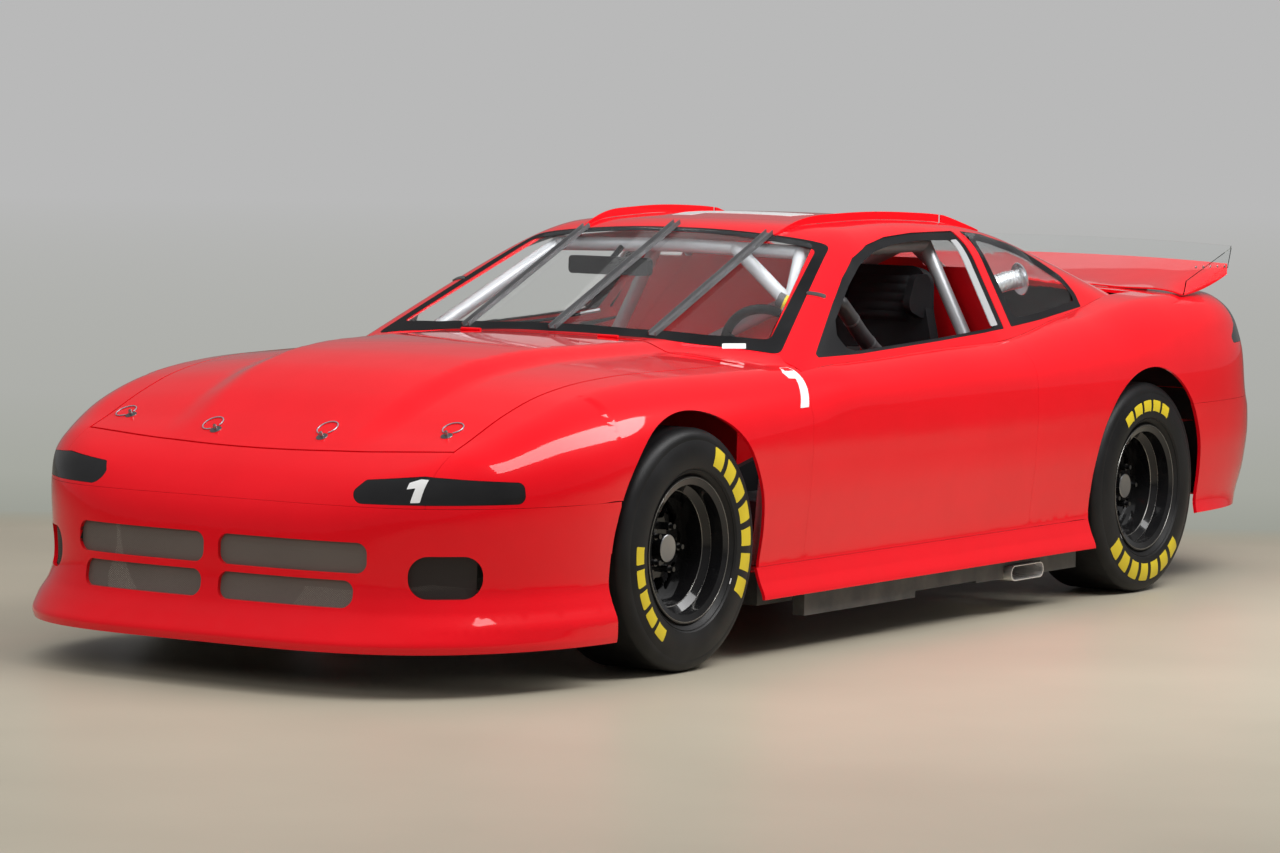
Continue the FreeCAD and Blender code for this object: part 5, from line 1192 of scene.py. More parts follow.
def patch_on(name: str, cast: Cast, outline: np.ndarray, lift: float, low: float,
             grid: float = 18.0) -> bpy.types.Mesh:
    """Solid patch on a surface, inside one outline.

    Args:
        name: The mesh's name.
        cast: Lays an outline on the surface at a lift.
        outline: The patch's outline.
        lift: Height of its face over the surface.
        low: Height of its underside.
        grid: Spacing of the lines that divide it.

    Returns:
        The mesh.
    """
    sheet = bmesh.new()
    sheet.faces.new([sheet.verts.new((u, v, 0.0)) for u, v in outline])
    for axis in range(2):
        way = Vector((1.0, 0.0, 0.0)) if axis == 0 else Vector((0.0, 1.0, 0.0))
        start = float(outline[:, axis].min())
        stop = float(outline[:, axis].max())
        for place in np.arange(start + grid, stop, grid):
            geometry = [*sheet.verts, *sheet.edges, *sheet.faces]
            bmesh.ops.bisect_plane(sheet, geom=geometry, dist=0.01, plane_co=way * float(place), plane_no=way)
    bmesh.ops.triangulate(sheet, faces=sheet.faces)
    sheet.verts.index_update()
    flat = np.array([v.co[:2] for v in sheet.verts])
    faces = [tuple(v.index for v in face.verts) for face in sheet.faces]
    walls = [tuple(v.index for v in edge.verts) for edge in sheet.edges if edge.is_boundary]
    sheet.free()
    count = len(flat)
    points = np.vstack((cast(flat, lift), cast(flat, low)))
    under = [tuple(index + count for index in reversed(face)) for face in faces]
    rims = [(a, b, b + count, a + count) for a, b in walls]
    return mesh_from(name, points, faces + under + rims)


def tube_mesh(name: str, path: np.ndarray, radius: float | Sequence[float],
              sides: int = 10) -> bpy.types.Mesh:
    """Round tube along a path, with closed ends.

    Args:
        name: The mesh's name.
        path: Points along its middle, in drawing millimetres.
        radius: One radius, or one for each point.
        sides: Sides of its section.

    Returns:
        The mesh.
    """
    path = np.asarray(path, dtype=float)
    radii = np.full(len(path), radius) if np.isscalar(radius) else np.asarray(radius)
    ways = np.gradient(path, axis=0)
    ways /= np.linalg.norm(ways, axis=1)[:, None]
    across = np.cross(ways[0], (0.0, 0.0, 1.0) if abs(ways[0][2]) < 0.9 else (1.0, 0.0, 0.0))
    rows = []
    for place, way, size in zip(path, ways, radii):
        across = across - way * across.dot(way)
        across /= np.linalg.norm(across)
        beside = np.cross(way, across)
        turns = np.linspace(0.0, 2 * math.pi, sides, endpoint=False)
        rows.append(place + size * (np.cos(turns)[:, None] * across + np.sin(turns)[:, None] * beside))
    return mesh_from(name, np.vstack(rows), ring_faces(len(rows), sides, closed_across=False))


def curve_through(points: Sequence[Point], count: int) -> np.ndarray:
    """Smooth path through points, evenly divided between them."""
    knots = np.asarray(points, dtype=float)
    padded = np.vstack((2 * knots[0] - knots[1], knots, 2 * knots[-1] - knots[-2]))
    found = []
    for a, b, c, d in zip(padded, padded[1:], padded[2:], padded[3:]):
        for t in np.linspace(0.0, 1.0, count, endpoint=False):
            found.append(0.5 * (2 * b + (c - a) * t + (2 * a - 5 * b + 4 * c - d) * t * t
                                + (3 * b - a - 3 * c + d) * t ** 3))
    found.append(knots[-1])
    return np.array(found)


def turned_mesh(name: str, profile: Sequence[tuple[float, float]], centre: Point, axis: Point,
                sides: int = 24, hollow: bool = False) -> bpy.types.Mesh:
    """Turned shape about an axis.

    Args:
        name: The mesh's name.
        profile: Radius and height of each corner, from one end to the other.
        centre: Where its height is zero, in drawing millimetres.
        axis: Its axis.
        sides: Sides of the turning.
        hollow: True where the profile closes on itself, as a ring's does.

    Returns:
        The mesh.
    """
    way = Vector(axis).normalized()
    across = way.orthogonal().normalized()
    beside = way.cross(across)
    rows = []
    for radius, height in profile:
        row = []
        for index in range(sides):
            angle = 2 * math.pi * index / sides
            spoke = across * math.cos(angle) + beside * math.sin(angle)
            row.append(Vector(centre) + way * height + spoke * max(radius, 0.02))
        rows.append(np.array(row))
    return mesh_from(name, np.vstack(rows), ring_faces(len(rows), sides, closed_across=hollow))


@dataclass
class TrimBench:
    """Shared tools of the trim makers.

    Args:
        form: The body's form.
        shop: Where finishes come from.
    """

    form: BodyForm
    shop: Paintshop

    def __post_init__(self) -> None:
        """Makes the two faces that trim is laid on."""
        self.cabin = FormFace(self.form.cabin)
        self.body = FormFace(self.form.body)

    def place(self, mesh: bpy.types.Mesh, finish: AnyFinish, slot: Slot,
              body: Body = Body.CHASSIS) -> bpy.types.Object:
        """Places a mesh under its own name."""
        return place_piece(mesh, mesh.name, body, self.shop.mix(finish), slot)


@dataclass
class WindowTrim:
    """Black frames, borders and bright strips round the windows."""

    bench: TrimBench
    driver: Corners = (
        (789.0, 848.0), (1048.0, 849.0), (1546.0, 868.0), (1985.0, 889.0), (2060.0, 1190.0), (1772.0, 1190.0),
        (1592.0, 1180.0), (1444.0, 1159.0), (1308.0, 1123.0), (1184.0, 1067.0), (1044.0, 992.0))
    driver_clear: Corners = (
        (838.0, 855.0), (1048.0, 857.0), (1546.0, 875.0), (1932.0, 894.0), (1994.0, 1162.0), (1770.0, 1166.0),
        (1592.0, 1157.0), (1450.0, 1137.0), (1318.0, 1101.0), (1197.0, 1047.0), (1062.0, 974.0))
    quarter: Corners = (
        (2040.0, 893.0), (2280.0, 906.0), (2652.0, 934.0), (2661.0, 974.0), (2632.0, 1032.0),
        (2555.0, 1079.0), (2476.0, 1119.0), (2372.0, 1150.0), (2240.0, 1176.0), (2112.0, 1187.0))
    quarter_clear: Corners = (
        (2098.0, 918.0), (2290.0, 927.0), (2620.0, 954.0), (2626.0, 974.0), (2600.0, 1010.0),
        (2530.0, 1046.0), (2455.0, 1082.0), (2355.0, 1116.0), (2235.0, 1144.0), (2132.0, 1158.0))
    screen: Corners = (
        (-738.0, 716.0), (-500.0, 648.0), (-250.0, 604.0), (0.0, 592.0), (250.0, 604.0), (500.0, 648.0),
        (738.0, 716.0), (548.0, 1302.0), (280.0, 1288.0), (0.0, 1282.0), (-280.0, 1288.0), (-548.0, 1302.0))
    screen_clear: Corners = (
        (-672.0, 764.0), (-490.0, 700.0), (-250.0, 652.0), (0.0, 640.0), (250.0, 652.0), (490.0, 700.0),
        (672.0, 764.0), (526.0, 1256.0), (280.0, 1247.0), (0.0, 1242.0), (-280.0, 1247.0), (-526.0, 1256.0))
    corner_plate: Corners = (
        (800.0, 852.0), (1060.0, 853.0), (995.0, 868.0), (978.0, 905.0), (1018.0, 952.0), (1062.0, 980.0),
        (1046.0, 985.0))
    post_strip: Corners = (
        (1906.0, 899.0), (1954.0, 902.0), (2020.0, 1164.0), (1978.0, 1163.0))
    clip: Corners = ((634.0, 1024.0), (690.0, 1042.0), (688.0, 1056.0), (632.0, 1037.0))
    fairing_front: float = 540.0
    fairing_half: float = 806.0
    fairing_lap: float = 8.0
    fairing_lift: float = 0.4
    fairing_sheet: float = 1.6
    label: Corners = ((573.0, 657.0), (636.0, 690.0), (621.0, 713.0), (559.0, 680.0))

    def build(self) -> None:
        """Makes every trim piece of the windows."""
        self._frames()
        self._borders()
        self._cowl_fairing()
        self._small_pieces()

    def _frames(self) -> None:
        """Deep black frames in the driver's opening and its twin, with corner plates and bright strips."""
        for side, name in SIDES:
            cast = self.bench.cabin.on_side(side)
            opening = ring_between("window_frame_" + name, cast, rounded(self.driver, 8.0),
                                   rounded(self.driver_clear, 24.0), -1.6, -9.0)
            self.bench.place(opening, MATT_BLACK, Slot.BLACK_TRIM)
            plate = patch_on("corner_plate_" + name, cast, rounded(self.corner_plate, 10.0, 3, 4), -2.0, -5.0)
            self.bench.place(plate, MATT_BLACK, Slot.BLACK_TRIM)
            strip = patch_on("post_strip_" + name, cast, rounded(self.post_strip, 5.0, 3, 6), -1.0, -4.0)
            self.bench.place(strip, POST_SILVER, Slot.COLUMN)

    def _borders(self) -> None:
        """Black borders on the edges of the quarter windows and the windshield."""
        cabin = self.bench.cabin
        for side, name in SIDES:
            border = ring_between("quarter_border_" + name, cabin.on_side(side), rounded(self.quarter, 8.0),
                                  rounded(self.quarter_clear, 20.0), 0.5, -0.3)
            self.bench.place(border, MATT_BLACK, Slot.BLACK_TRIM)
        border = ring_between("windshield_border", cabin.over, rounded(self.screen, 30.0),
                              rounded(self.screen_clear, 24.0), 0.8, -0.6)
        self.bench.place(border, MATT_BLACK, Slot.BLACK_TRIM)

    def _cowl_fairing(self) -> None:
        """Red skin that rises from the hood's rear edge to the windshield's foot."""
        x = np.linspace(-self.fairing_half, self.fairing_half, 97)
        across, along = zip(*self.screen[:7])
        rear = np.interp(x, across, along) + self.fairing_lap
        top = self.bench.cabin.over(np.column_stack((x, rear)), -1.5)[:, 2]
        foot = self.bench.body.over(np.column_stack((x, rear)), self.fairing_lift)[:, 2]
        fall = 1.0 - ease((np.abs(x) - across[-1]) / (self.fairing_half - across[-1]))
        rise = np.maximum(top - foot, 0.0) * fall
        rows = []
        for t in np.linspace(0.0, 1.0, 13):
            y = self.fairing_front + (rear - self.fairing_front) * t
            low = self.bench.body.over(np.column_stack((x, y)), self.fairing_lift)
            rows.append(low + np.column_stack((0 * x, 0 * x, rise * t * t)))
        under = [row - (0.0, 0.0, self.fairing_sheet) for row in reversed(rows)]
        points = np.stack(rows + under, axis=1).reshape(-1, 3)
        faces = ring_faces(len(x), len(rows) * 2, closed_across=False)
        self.bench.place(mesh_from("cowl_fairing", points, faces, 50.0), RED_PAINT, Slot.RED_BODY)

    def _small_pieces(self) -> None:
        """Pillar clips and the plain white label."""
        cabin = self.bench.cabin
        for side, name in SIDES:
            outline = np.array(self.clip) * np.array((side, 1.0))
            plate = patch_on("pillar_clip_" + name, cabin.over, rounded(outline, 6.0, 3, 3), 4.0, 0.2)
            self.bench.place(plate, BARE_STEEL, Slot.COLUMN)
        label = patch_on("blank_label", cabin.over, rounded(self.label, 3.0, 2, 3), 1.4, 0.6)
        self.bench.place(label, WHITE_VINYL, Slot.RED_BODY)


@dataclass
class Numerals:
    """The plain white figure on the roof, the front fender and the lamp cover."""

    bench: TrimBench
    roof: Corners = (
        (190.0, 1642.0), (190.0, 1792.0), (-240.0, 1792.0), (-240.0, 1700.0), (-186.0, 1535.0),
        (-112.0, 1535.0), (-128.0, 1642.0))
    fender: Corners = (
        (553.0, 717.0), (598.0, 718.0), (641.0, 784.0), (668.0, 830.0), (646.0, 833.0), (590.0, 813.0),
        (586.0, 799.0), (617.0, 797.0), (587.0, 762.0))
    lamp: Corners = (
        (603.0, 521.0), (626.0, 522.0), (632.0, 582.0), (612.0, 583.0), (586.0, 573.0), (585.0, 556.0),
        (607.0, 560.0))

    def build(self) -> None:
        """Lays the three figures."""
        body, cabin = self.bench.body, self.bench.cabin
        roof, fender = rounded(self.roof, 4.0, 2, 4), rounded(self.fender, 3.0, 2, 4)
        figures = (patch_on("roof_figure", cabin.over, roof, 0.5, -0.5),
                   patch_on("fender_figure", body.on_side(LEFT), fender, 0.6, -0.6, 9.0),
                   patch_on("lamp_figure", body.ahead, rounded(self.lamp, 2.0, 2, 3), 0.6, -0.6, 9.0))
        for figure in figures:
            self.bench.place(figure, WHITE_VINYL, Slot.RED_BODY)


@dataclass
class TyreMarks:
    """Plain yellow blocks and fine moulded rings on the outer sidewalls."""

    bench: TrimBench
    lip_x: float = 895.0
    bulge: float = 16.0
    bulge_fall: float = 8.0
    bulge_radius: float = 268.0
    bulge_half: float = 42.0
    arcs: tuple[tuple[float, float, int, float, float], ...] = (
        # first angle, last angle, count, inner radius, outer radius
        (63.0, -26.0, 7, 242.0, 307.0),
        (179.0, 233.0, 5, 238.0, 288.0),
    )
    block_width: float = 10.4
    rings: tuple[float, ...] = (226.0, 240.0, 312.0)
    ring_points: int = 96
    # Blank label: angle, width in degrees, inner radius, outer radius
    label: tuple[float, float, float, float] = (-27.0, 4.4, 225.0, 248.0)
    reach_of_degree: float = 4.6
    front_turn: float = 0.0
    rear_turn: float = -112.0

    def side_x(self, radius: np.ndarray | float) -> np.ndarray | float:
        """Sidewall's place outward from the rim's lip, at a radius."""
        share = (np.asarray(radius) - self.bulge_radius) / self.bulge_half
        return self.bulge - self.bulge_fall * share ** 2

    def build(self) -> None:
        """Marks the four tyres."""
        for wheel in wheels():
            centre = (0.0, wheel.centre_y, AXLE_Z * 1000.0)
            turn = self.front_turn if wheel.centre_y == 0.0 else self.rear_turn
            marks = self._blocks("tyre_marks_" + wheel.name, centre, wheel.side, turn)
            self.bench.place(marks, YELLOW_PRINT, Slot.TYRE, wheel.body)
            rings = self._rings("tyre_rings_" + wheel.name, centre, wheel.side)
            self.bench.place(rings, RUBBER, Slot.TYRE, wheel.body)
            angle, width, inner, outer = self.label
            label = self._block(centre, wheel.side, turn + angle, width, inner, outer)
            label.name = "tyre_label_" + wheel.name
            self.bench.place(label, WHITE_VINYL, Slot.TYRE, wheel.body)

    def _block(self, centre: Point, side: float, angle: float, width: float, inner: float,
               outer: float) -> bpy.types.Mesh:
        """One block of print on a sidewall.

        Args:
            centre: The wheel's centre.
            side: One for the left side, minus one for the right.
            angle: Where its middle is, in degrees up from the rear.
            width: Its width in degrees.
            inner: Its inner radius.
            outer: Its outer radius.

        Returns:
            The mesh.
        """
        corners = [(-width / 2, inner), (width / 2, inner), (width / 2, outer), (-width / 2, outer)]
        outline = rounded([(a * self.reach_of_degree, r) for a, r in corners], 4.0, 2, 4)

        def cast(places: np.ndarray, lift: float) -> np.ndarray:
            """Lays places round the axle and out from it onto the tyre's side."""
            turns = np.radians(angle + places[:, 0] / self.reach_of_degree)
            radii = places[:, 1]
            across = side * (self.lip_x + self.side_x(radii) + lift)
            along, up = radii * np.cos(turns), radii * np.sin(turns)
            return np.column_stack((across, centre[1] + along, centre[2] + up))

        return patch_on("block", cast, outline, 0.7, -0.6, 9.0)

    def _blocks(self, name: str, centre: Point, side: float, turn: float) -> bpy.types.Mesh:
        """All print blocks of one tyre."""
        meshes = []
        for first, last, count, inner, outer in self.arcs:
            for angle in np.linspace(first, last, count):
                meshes.append(self._block(centre, side, float(angle) + turn, self.block_width, inner, outer))
        return join_meshes(name, meshes)

    def _rings(self, name: str, centre: Point, side: float) -> bpy.types.Mesh:
        """Fine raised rings of one tyre."""
        meshes = []
        for radius in self.rings:
            base = self.lip_x + float(self.side_x(radius))
            profile = [(radius - 1.6, base - 1.0), (radius - 0.7, base + 0.9), (radius + 0.7, base + 0.9),
                       (radius + 1.6, base - 1.0)]
            turns = np.linspace(0.0, 2 * math.pi, self.ring_points, endpoint=False)
            rows = [np.column_stack((np.full(self.ring_points, side * x), centre[1] + r * np.cos(turns),
                                     centre[2] + r * np.sin(turns))) for r, x in profile]
            meshes.append(mesh_from("ring", np.vstack(rows), ring_faces(len(rows), self.ring_points)))
        return join_meshes(name, meshes)


class RivetNodes:
    """Geometry-nodes row of dome rivets between two points."""

    INPUTS = (
        ("Start", "NodeSocketVector"), ("End", "NodeSocketVector"), ("Count", "NodeSocketInt"),
        ("Radius", "NodeSocketFloat"), ("Normal", "NodeSocketVector"), ("Material", "NodeSocketMaterial"))
    NODES = (
        ("start", "NodeGroupInput", {}), ("end", "NodeGroupOutput", {}),
        ("line", "GeometryNodeMeshLine", {"mode": "END_POINTS"}),
        ("dome", "GeometryNodeMeshUVSphere", {}), ("shape", "GeometryNodeTransform", {}),
        ("spots", "GeometryNodeInstanceOnPoints", {}),
        ("aim", "FunctionNodeAlignRotationToVector", {"axis": "Z"}),
        ("real", "GeometryNodeRealizeInstances", {}), ("paint", "GeometryNodeSetMaterial", {}),
        ("smooth", "GeometryNodeSetShadeSmooth", {}))
    LINKS = (
        # from, its output, to, its input
        ("start", "Count", "line", "Count"),
        ("start", "Start", "line", "Start Location"),
        ("start", "End", "line", "Offset"),
        ("start", "Radius", "dome", "Radius"),
        ("dome", "Mesh", "shape", "Geometry"),
        ("line", "Mesh", "spots", "Points"),
        ("shape", "Geometry", "spots", "Instance"),
        ("start", "Normal", "aim", "Vector"),
        ("aim", "Rotation", "spots", "Rotation"),
        ("spots", "Instances", "real", "Geometry"),
        ("real", "Geometry", "smooth", "Geometry"),
        ("smooth", "Geometry", "paint", "Geometry"),
        ("start", "Material", "paint", "Material"),
        ("paint", "Geometry", "end", "Geometry"),
    )
    SEGMENTS = 12
    DOME_RINGS = 8
    DOME_HEIGHT = 0.55

    def __init__(self) -> None:
        """Builds the node group once."""
        self.tree = bpy.data.node_groups.new("rivet_row", "GeometryNodeTree")
        sockets = self.tree.interface
        sockets.new_socket("Geometry", in_out="OUTPUT", socket_type="NodeSocketGeometry")
        self.names = {label: sockets.new_socket(label, in_out="INPUT", socket_type=kind).identifier
                      for label, kind in self.INPUTS}
        sheet = NodeSheet(self.tree)
        nodes = {label: sheet.add(kind, **settings) for label, kind, settings in self.NODES}
        sheet.put(nodes["dome"], "Segments", self.SEGMENTS)
        sheet.put(nodes["dome"], "Rings", self.DOME_RINGS)
        sheet.put(nodes["shape"], "Scale", (1.0, 1.0, self.DOME_HEIGHT))
        for source, output, target, entry in self.LINKS:
            sheet.join(nodes[source].outputs[output], nodes[target].inputs[entry])

    def row(self, name: str, start: Point, end: Point, count: int, radius: float, normal: Point,
            material: bpy.types.Material) -> bpy.types.Mesh:
        """Makes one row of rivets.

        Args:
            name: The mesh's name.
            start: First rivet, in drawing millimetres.
            end: Last rivet.
            count: How many rivets.
            radius: Their radius, in millimetres.
            normal: Which way their domes face.
            material: Their material.

        Returns:
            The mesh, with its modifier applied.
        """
        seed = bpy.data.meshes.new(name + "_seed")
        carrier = bpy.data.objects.new(name + "_seed", seed)
        bpy.context.scene.collection.objects.link(carrier)
        modifier = carrier.modifiers.new("rivets", "NODES")
        modifier.node_group = self.tree
        values = {"Start": to_frame(np.asarray(start)), "End": to_frame(np.asarray(end)), "Count": count,
                  "Radius": radius / 1000.0, "Normal": np.asarray(normal, dtype=float), "Material": material}
        for label, value in values.items():
            modifier[self.names[label]] = value.tolist() if isinstance(value, np.ndarray) else value
        bpy.context.view_layer.update()
        mesh = bpy.data.meshes.new_from_object(carrier.evaluated_get(bpy.context.evaluated_depsgraph_get()))
        mesh.name = name
        bpy.data.objects.remove(carrier)
        bpy.data.meshes.remove(seed)
        return mesh


@dataclass
class HoodPins:
    """Four hood pins: plate, button and the coated lanyard's open loop."""

    bench: TrimBench
    places: Corners = ((-554.0, -695.0), (-186.0, -770.0), (186.0, -770.0), (554.0, -695.0))
    ways: tuple[float, ...] = (150.0, 140.0, 105.0, 100.0)
    plate_radius: float = 17.0
    loop_radius: float = 29.0
    loop_gap: float = 0.42
    clip_reach: float = 11.0
    wire: float = 3.4
    lift: float = 0.5

    def build(self) -> None:
        """Makes the four sets."""
        for index, ((x, y), way) in enumerate(zip(self.places, self.ways), start=1):
            base = self.bench.body.over(np.array([(x, y)]), 0.0)[0]
            normal = slope_of(self.bench.form.body, base[None, :])[0]
            normal = tuple(normal / np.linalg.norm(normal))
            self._pin(index, tuple(base), normal)
            self._lanyard(index, x, y, math.radians(way))

    def _pin(self, index: int, base: Point, normal: Point) -> None:
        """Turns a plate and button on the hood."""
        radius = self.plate_radius
        plate = [(0.0, 0.15), (radius, 0.15), (radius, 1.2), (radius - 1.0, 2.0), (9.0, 2.4), (7.5, 3.4),
                 (0.0, 3.4)]
        button = [(0.0, 3.3), (5.2, 3.3), (5.2, 13.0), (4.4, 15.5), (2.4, 17.0), (0.0, 17.4)]
        parts = [turned_mesh("plate", plate, base, normal, 28),
                 turned_mesh("button", button, base, normal, 16)]
        self.bench.place(join_meshes(f"hood_pin_{index}", parts), BARE_STEEL, Slot.COLUMN, Body.HOOD)

    def _lanyard(self, index: int, x: float, y: float, way: float) -> None:
        """Lays the lanyard's one open turn on the hood, from the plate and back to the clip."""
        away = self.loop_radius + self.clip_reach
        middle = np.array((x + math.cos(way) * away, y + math.sin(way) * away))
        turns = np.linspace(way + math.pi + self.loop_gap, way + 3 * math.pi - self.loop_gap, 40)
        route = middle + self.loop_radius * np.column_stack((np.cos(turns), np.sin(turns)))
        path = self.bench.body.over(route, self.wire / 2 + self.lift)
        mesh = tube_mesh(f"lanyard_{index}", path, self.wire / 2, 10)
        piece = self.bench.place(mesh, LANYARD_WIRE, Slot.COLUMN, Body.HOOD)


@dataclass
class CabinFittings:
    """What shows through the windows: padded bar, air duct, stay rod and brace collar."""

    bench: TrimBench
    bar: tuple[Point, ...] = ((660.0, 1165.0, 1003.0), (655.0, 1240.0, 952.0), (648.0, 1325.0, 893.0),
                              (640.0, 1425.0, 835.0), (632.0, 1510.0, 800.0))
    bar_radius: float = 25.0
    clamps: tuple[int, ...] = (10, 20)
    rod: tuple[Point, ...] = ((-235.0, 653.0, 905.0), (-80.0, 700.0, 926.0), (66.0, 764.0, 958.0))
    duct: tuple[Point, ...] = ((628.0, 2345.0, 1030.0), (604.0, 2300.0, 1022.0), (588.0, 2236.0, 1006.0),
                               (584.0, 2165.0, 990.0), (590.0, 2090.0, 960.0))
    duct_radius: float = 31.0
    duct_wave: float = 1.6
    collar: tuple[Point, Point] = ((563.0, 1046.0, 985.0), (530.0, 1032.0, 1001.0))
    collar_radius: float = 24.0
    collar_split: float = 0.45

    def build(self) -> None:
        """Makes each fitting."""
        self._padded_bar()
        self._rod()
        self._duct()
        self._collar()

    def _padded_bar(self) -> None:
        """Foam-covered door bar with its two band clamps."""
        path = curve_through(self.bar, 8)
        ends = np.clip(np.minimum(np.arange(len(path)), np.arange(len(path))[::-1]) / 2.0, 0.0, 1.0)
        radii = self.bar_radius * np.sqrt(0.35 + 0.65 * ends)
        pad = self.bench.place(tube_mesh("door_bar_pad", path, radii, 20), FOAM_BLACK, Slot.BLACK_TRIM)
        bands = []
        for index in self.clamps:
            stretch = curve_through([tuple(path[index - 1]), tuple(path[index + 1])], 4)
            bands.append(tube_mesh("band", stretch * 0.3 + path[index] * 0.7, self.bar_radius + 1.4, 20))
        self.bench.place(join_meshes("door_bar_clamps", bands), STRAP_GREY, Slot.COLUMN)

    def _rod(self) -> None:
        """Thin stay rod behind the windshield with a steel sleeve at its end."""
        path = curve_through(self.rod, 8)
        self.bench.place(tube_mesh("screen_rod", path, 5.0, 10), MATT_BLACK, Slot.BLACK_TRIM)
        tip = curve_through([tuple(path[-4]), tuple(path[-1])], 4)
        self.bench.place(tube_mesh("screen_rod_tip", tip + (0.0, 0.0, 0.4), 5.6, 12), BARE_STEEL, Slot.COLUMN)

    def _duct(self) -> None:
        """Silver air duct and its flange at the driver's quarter window."""
        path = curve_through(self.duct, 8)
        waves = self.duct_radius + self.duct_wave * np.cos(np.arange(len(path)) * math.pi)
        self.bench.place(tube_mesh("air_duct", path, waves, 24), DUCT_SILVER, Slot.COLUMN)
        way = path[0] - path[2]
        profile = [(30.0, 0.0), (52.0, 0.0), (54.0, 3.0), (52.0, 6.0), (36.0, 8.0), (30.0, 8.0)]
        flange = turned_mesh("air_duct_flange", profile, tuple(path[0]), tuple(way), 36, hollow=True)
        self.bench.place(flange, DUCT_SILVER, Slot.COLUMN)

    def _collar(self) -> None:
        """Yellow and black collar on the lower end of the driver's side brace."""
        low, high = (np.array(place) for place in self.collar)
        for name, start, end, finish in (("brace_collar", 0.0, self.collar_split, YELLOW_PRINT),
                                         ("brace_collar_end", self.collar_split, 1.0, FOAM_BLACK)):
            path = np.linspace(low + (high - low) * start, low + (high - low) * end, 4)
            self.bench.place(tube_mesh(name, path, self.collar_radius, 20), finish, Slot.COLUMN)


@dataclass
class SheetMetal:
    """Red sheets that close the bulkhead's ends, and the wire sheets of the nose."""

    bench: TrimBench
    bulkhead_y: float = 2052.0
    inner_x: float = 683.0
    lean: float = 0.82
    lean_start: float = 790.0
    least_width: float = 4.0
    low: float = 250.0
    high: float = 1075.0
    skin_clear: float = -14.0
    widest: tuple[float, float] = (880.0, 880.0)
    sheet: float = 1.6
    rows_up: int = 24
    fog_x: float = 520.0

    def build(self) -> None:
        """Makes the bulkhead's ends and splits the wire sheets."""
        for side, name in SIDES:
            self._bulkhead_end(side, name)
        self._wire_sheets()

    def _bulkhead_end(self, side: float, name: str) -> None:
        """Plate from the bulkhead's edge out to the quarter's inner skin."""
        rows_up = self.rows_up
        heights = np.linspace(self.low, self.high, rows_up)
        starts = np.column_stack((np.full(rows_up, self.bulkhead_y), heights))
        wide = np.abs(self.bench.body.side(starts, side, self.skin_clear)[:, 0])
        narrow = np.abs(self.bench.cabin.side(starts, side, self.skin_clear)[:, 0])
        outer = np.where(heights < self.widest[1], np.minimum(wide, self.widest[0]), narrow)
        lean = self.lean * np.maximum(heights - self.lean_start, 0.0)
        inner = np.minimum(self.inner_x - lean, outer - self.least_width)
        rows = [np.column_stack((edge * side, np.full(rows_up, self.bulkhead_y + depth), heights))
                for edge, depth in ((inner, 0.0), (outer, 0.0), (outer, -self.sheet), (inner, -self.sheet))]
        points = np.stack(rows, axis=1).reshape(-1, 3)
        faces = ring_faces(rows_up, len(rows), closed_across=False)
        self.bench.place(mesh_from("bulkhead_end_" + name, points, faces), CABIN_RED_PAINTED_LIGHT, Slot.RED_SHEET)

    def _wire_sheets(self) -> None:
        """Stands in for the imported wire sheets: brown-grey in the grille, dark in the round openings."""
        source = frame["nodes"]["grille_mesh"].data
        for name, finish, outside in (("grille_wire", WIRE_MESH, False), ("fog_wire", DARK_MESH, True)):
            sheet = bmesh.new()
            sheet.from_mesh(source)
            away = [face for face in sheet.faces
                    if (abs(face.calc_center_median().x) * 1000.0 > self.fog_x) != outside]
            bmesh.ops.delete(sheet, geom=away, context="FACES")
            mesh = bpy.data.meshes.new(name)
            sheet.to_mesh(mesh)
            sheet.free()
            piece = self.bench.place(mesh, finish, Slot.MESH)
            if not outside:
                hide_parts("grille_mesh")


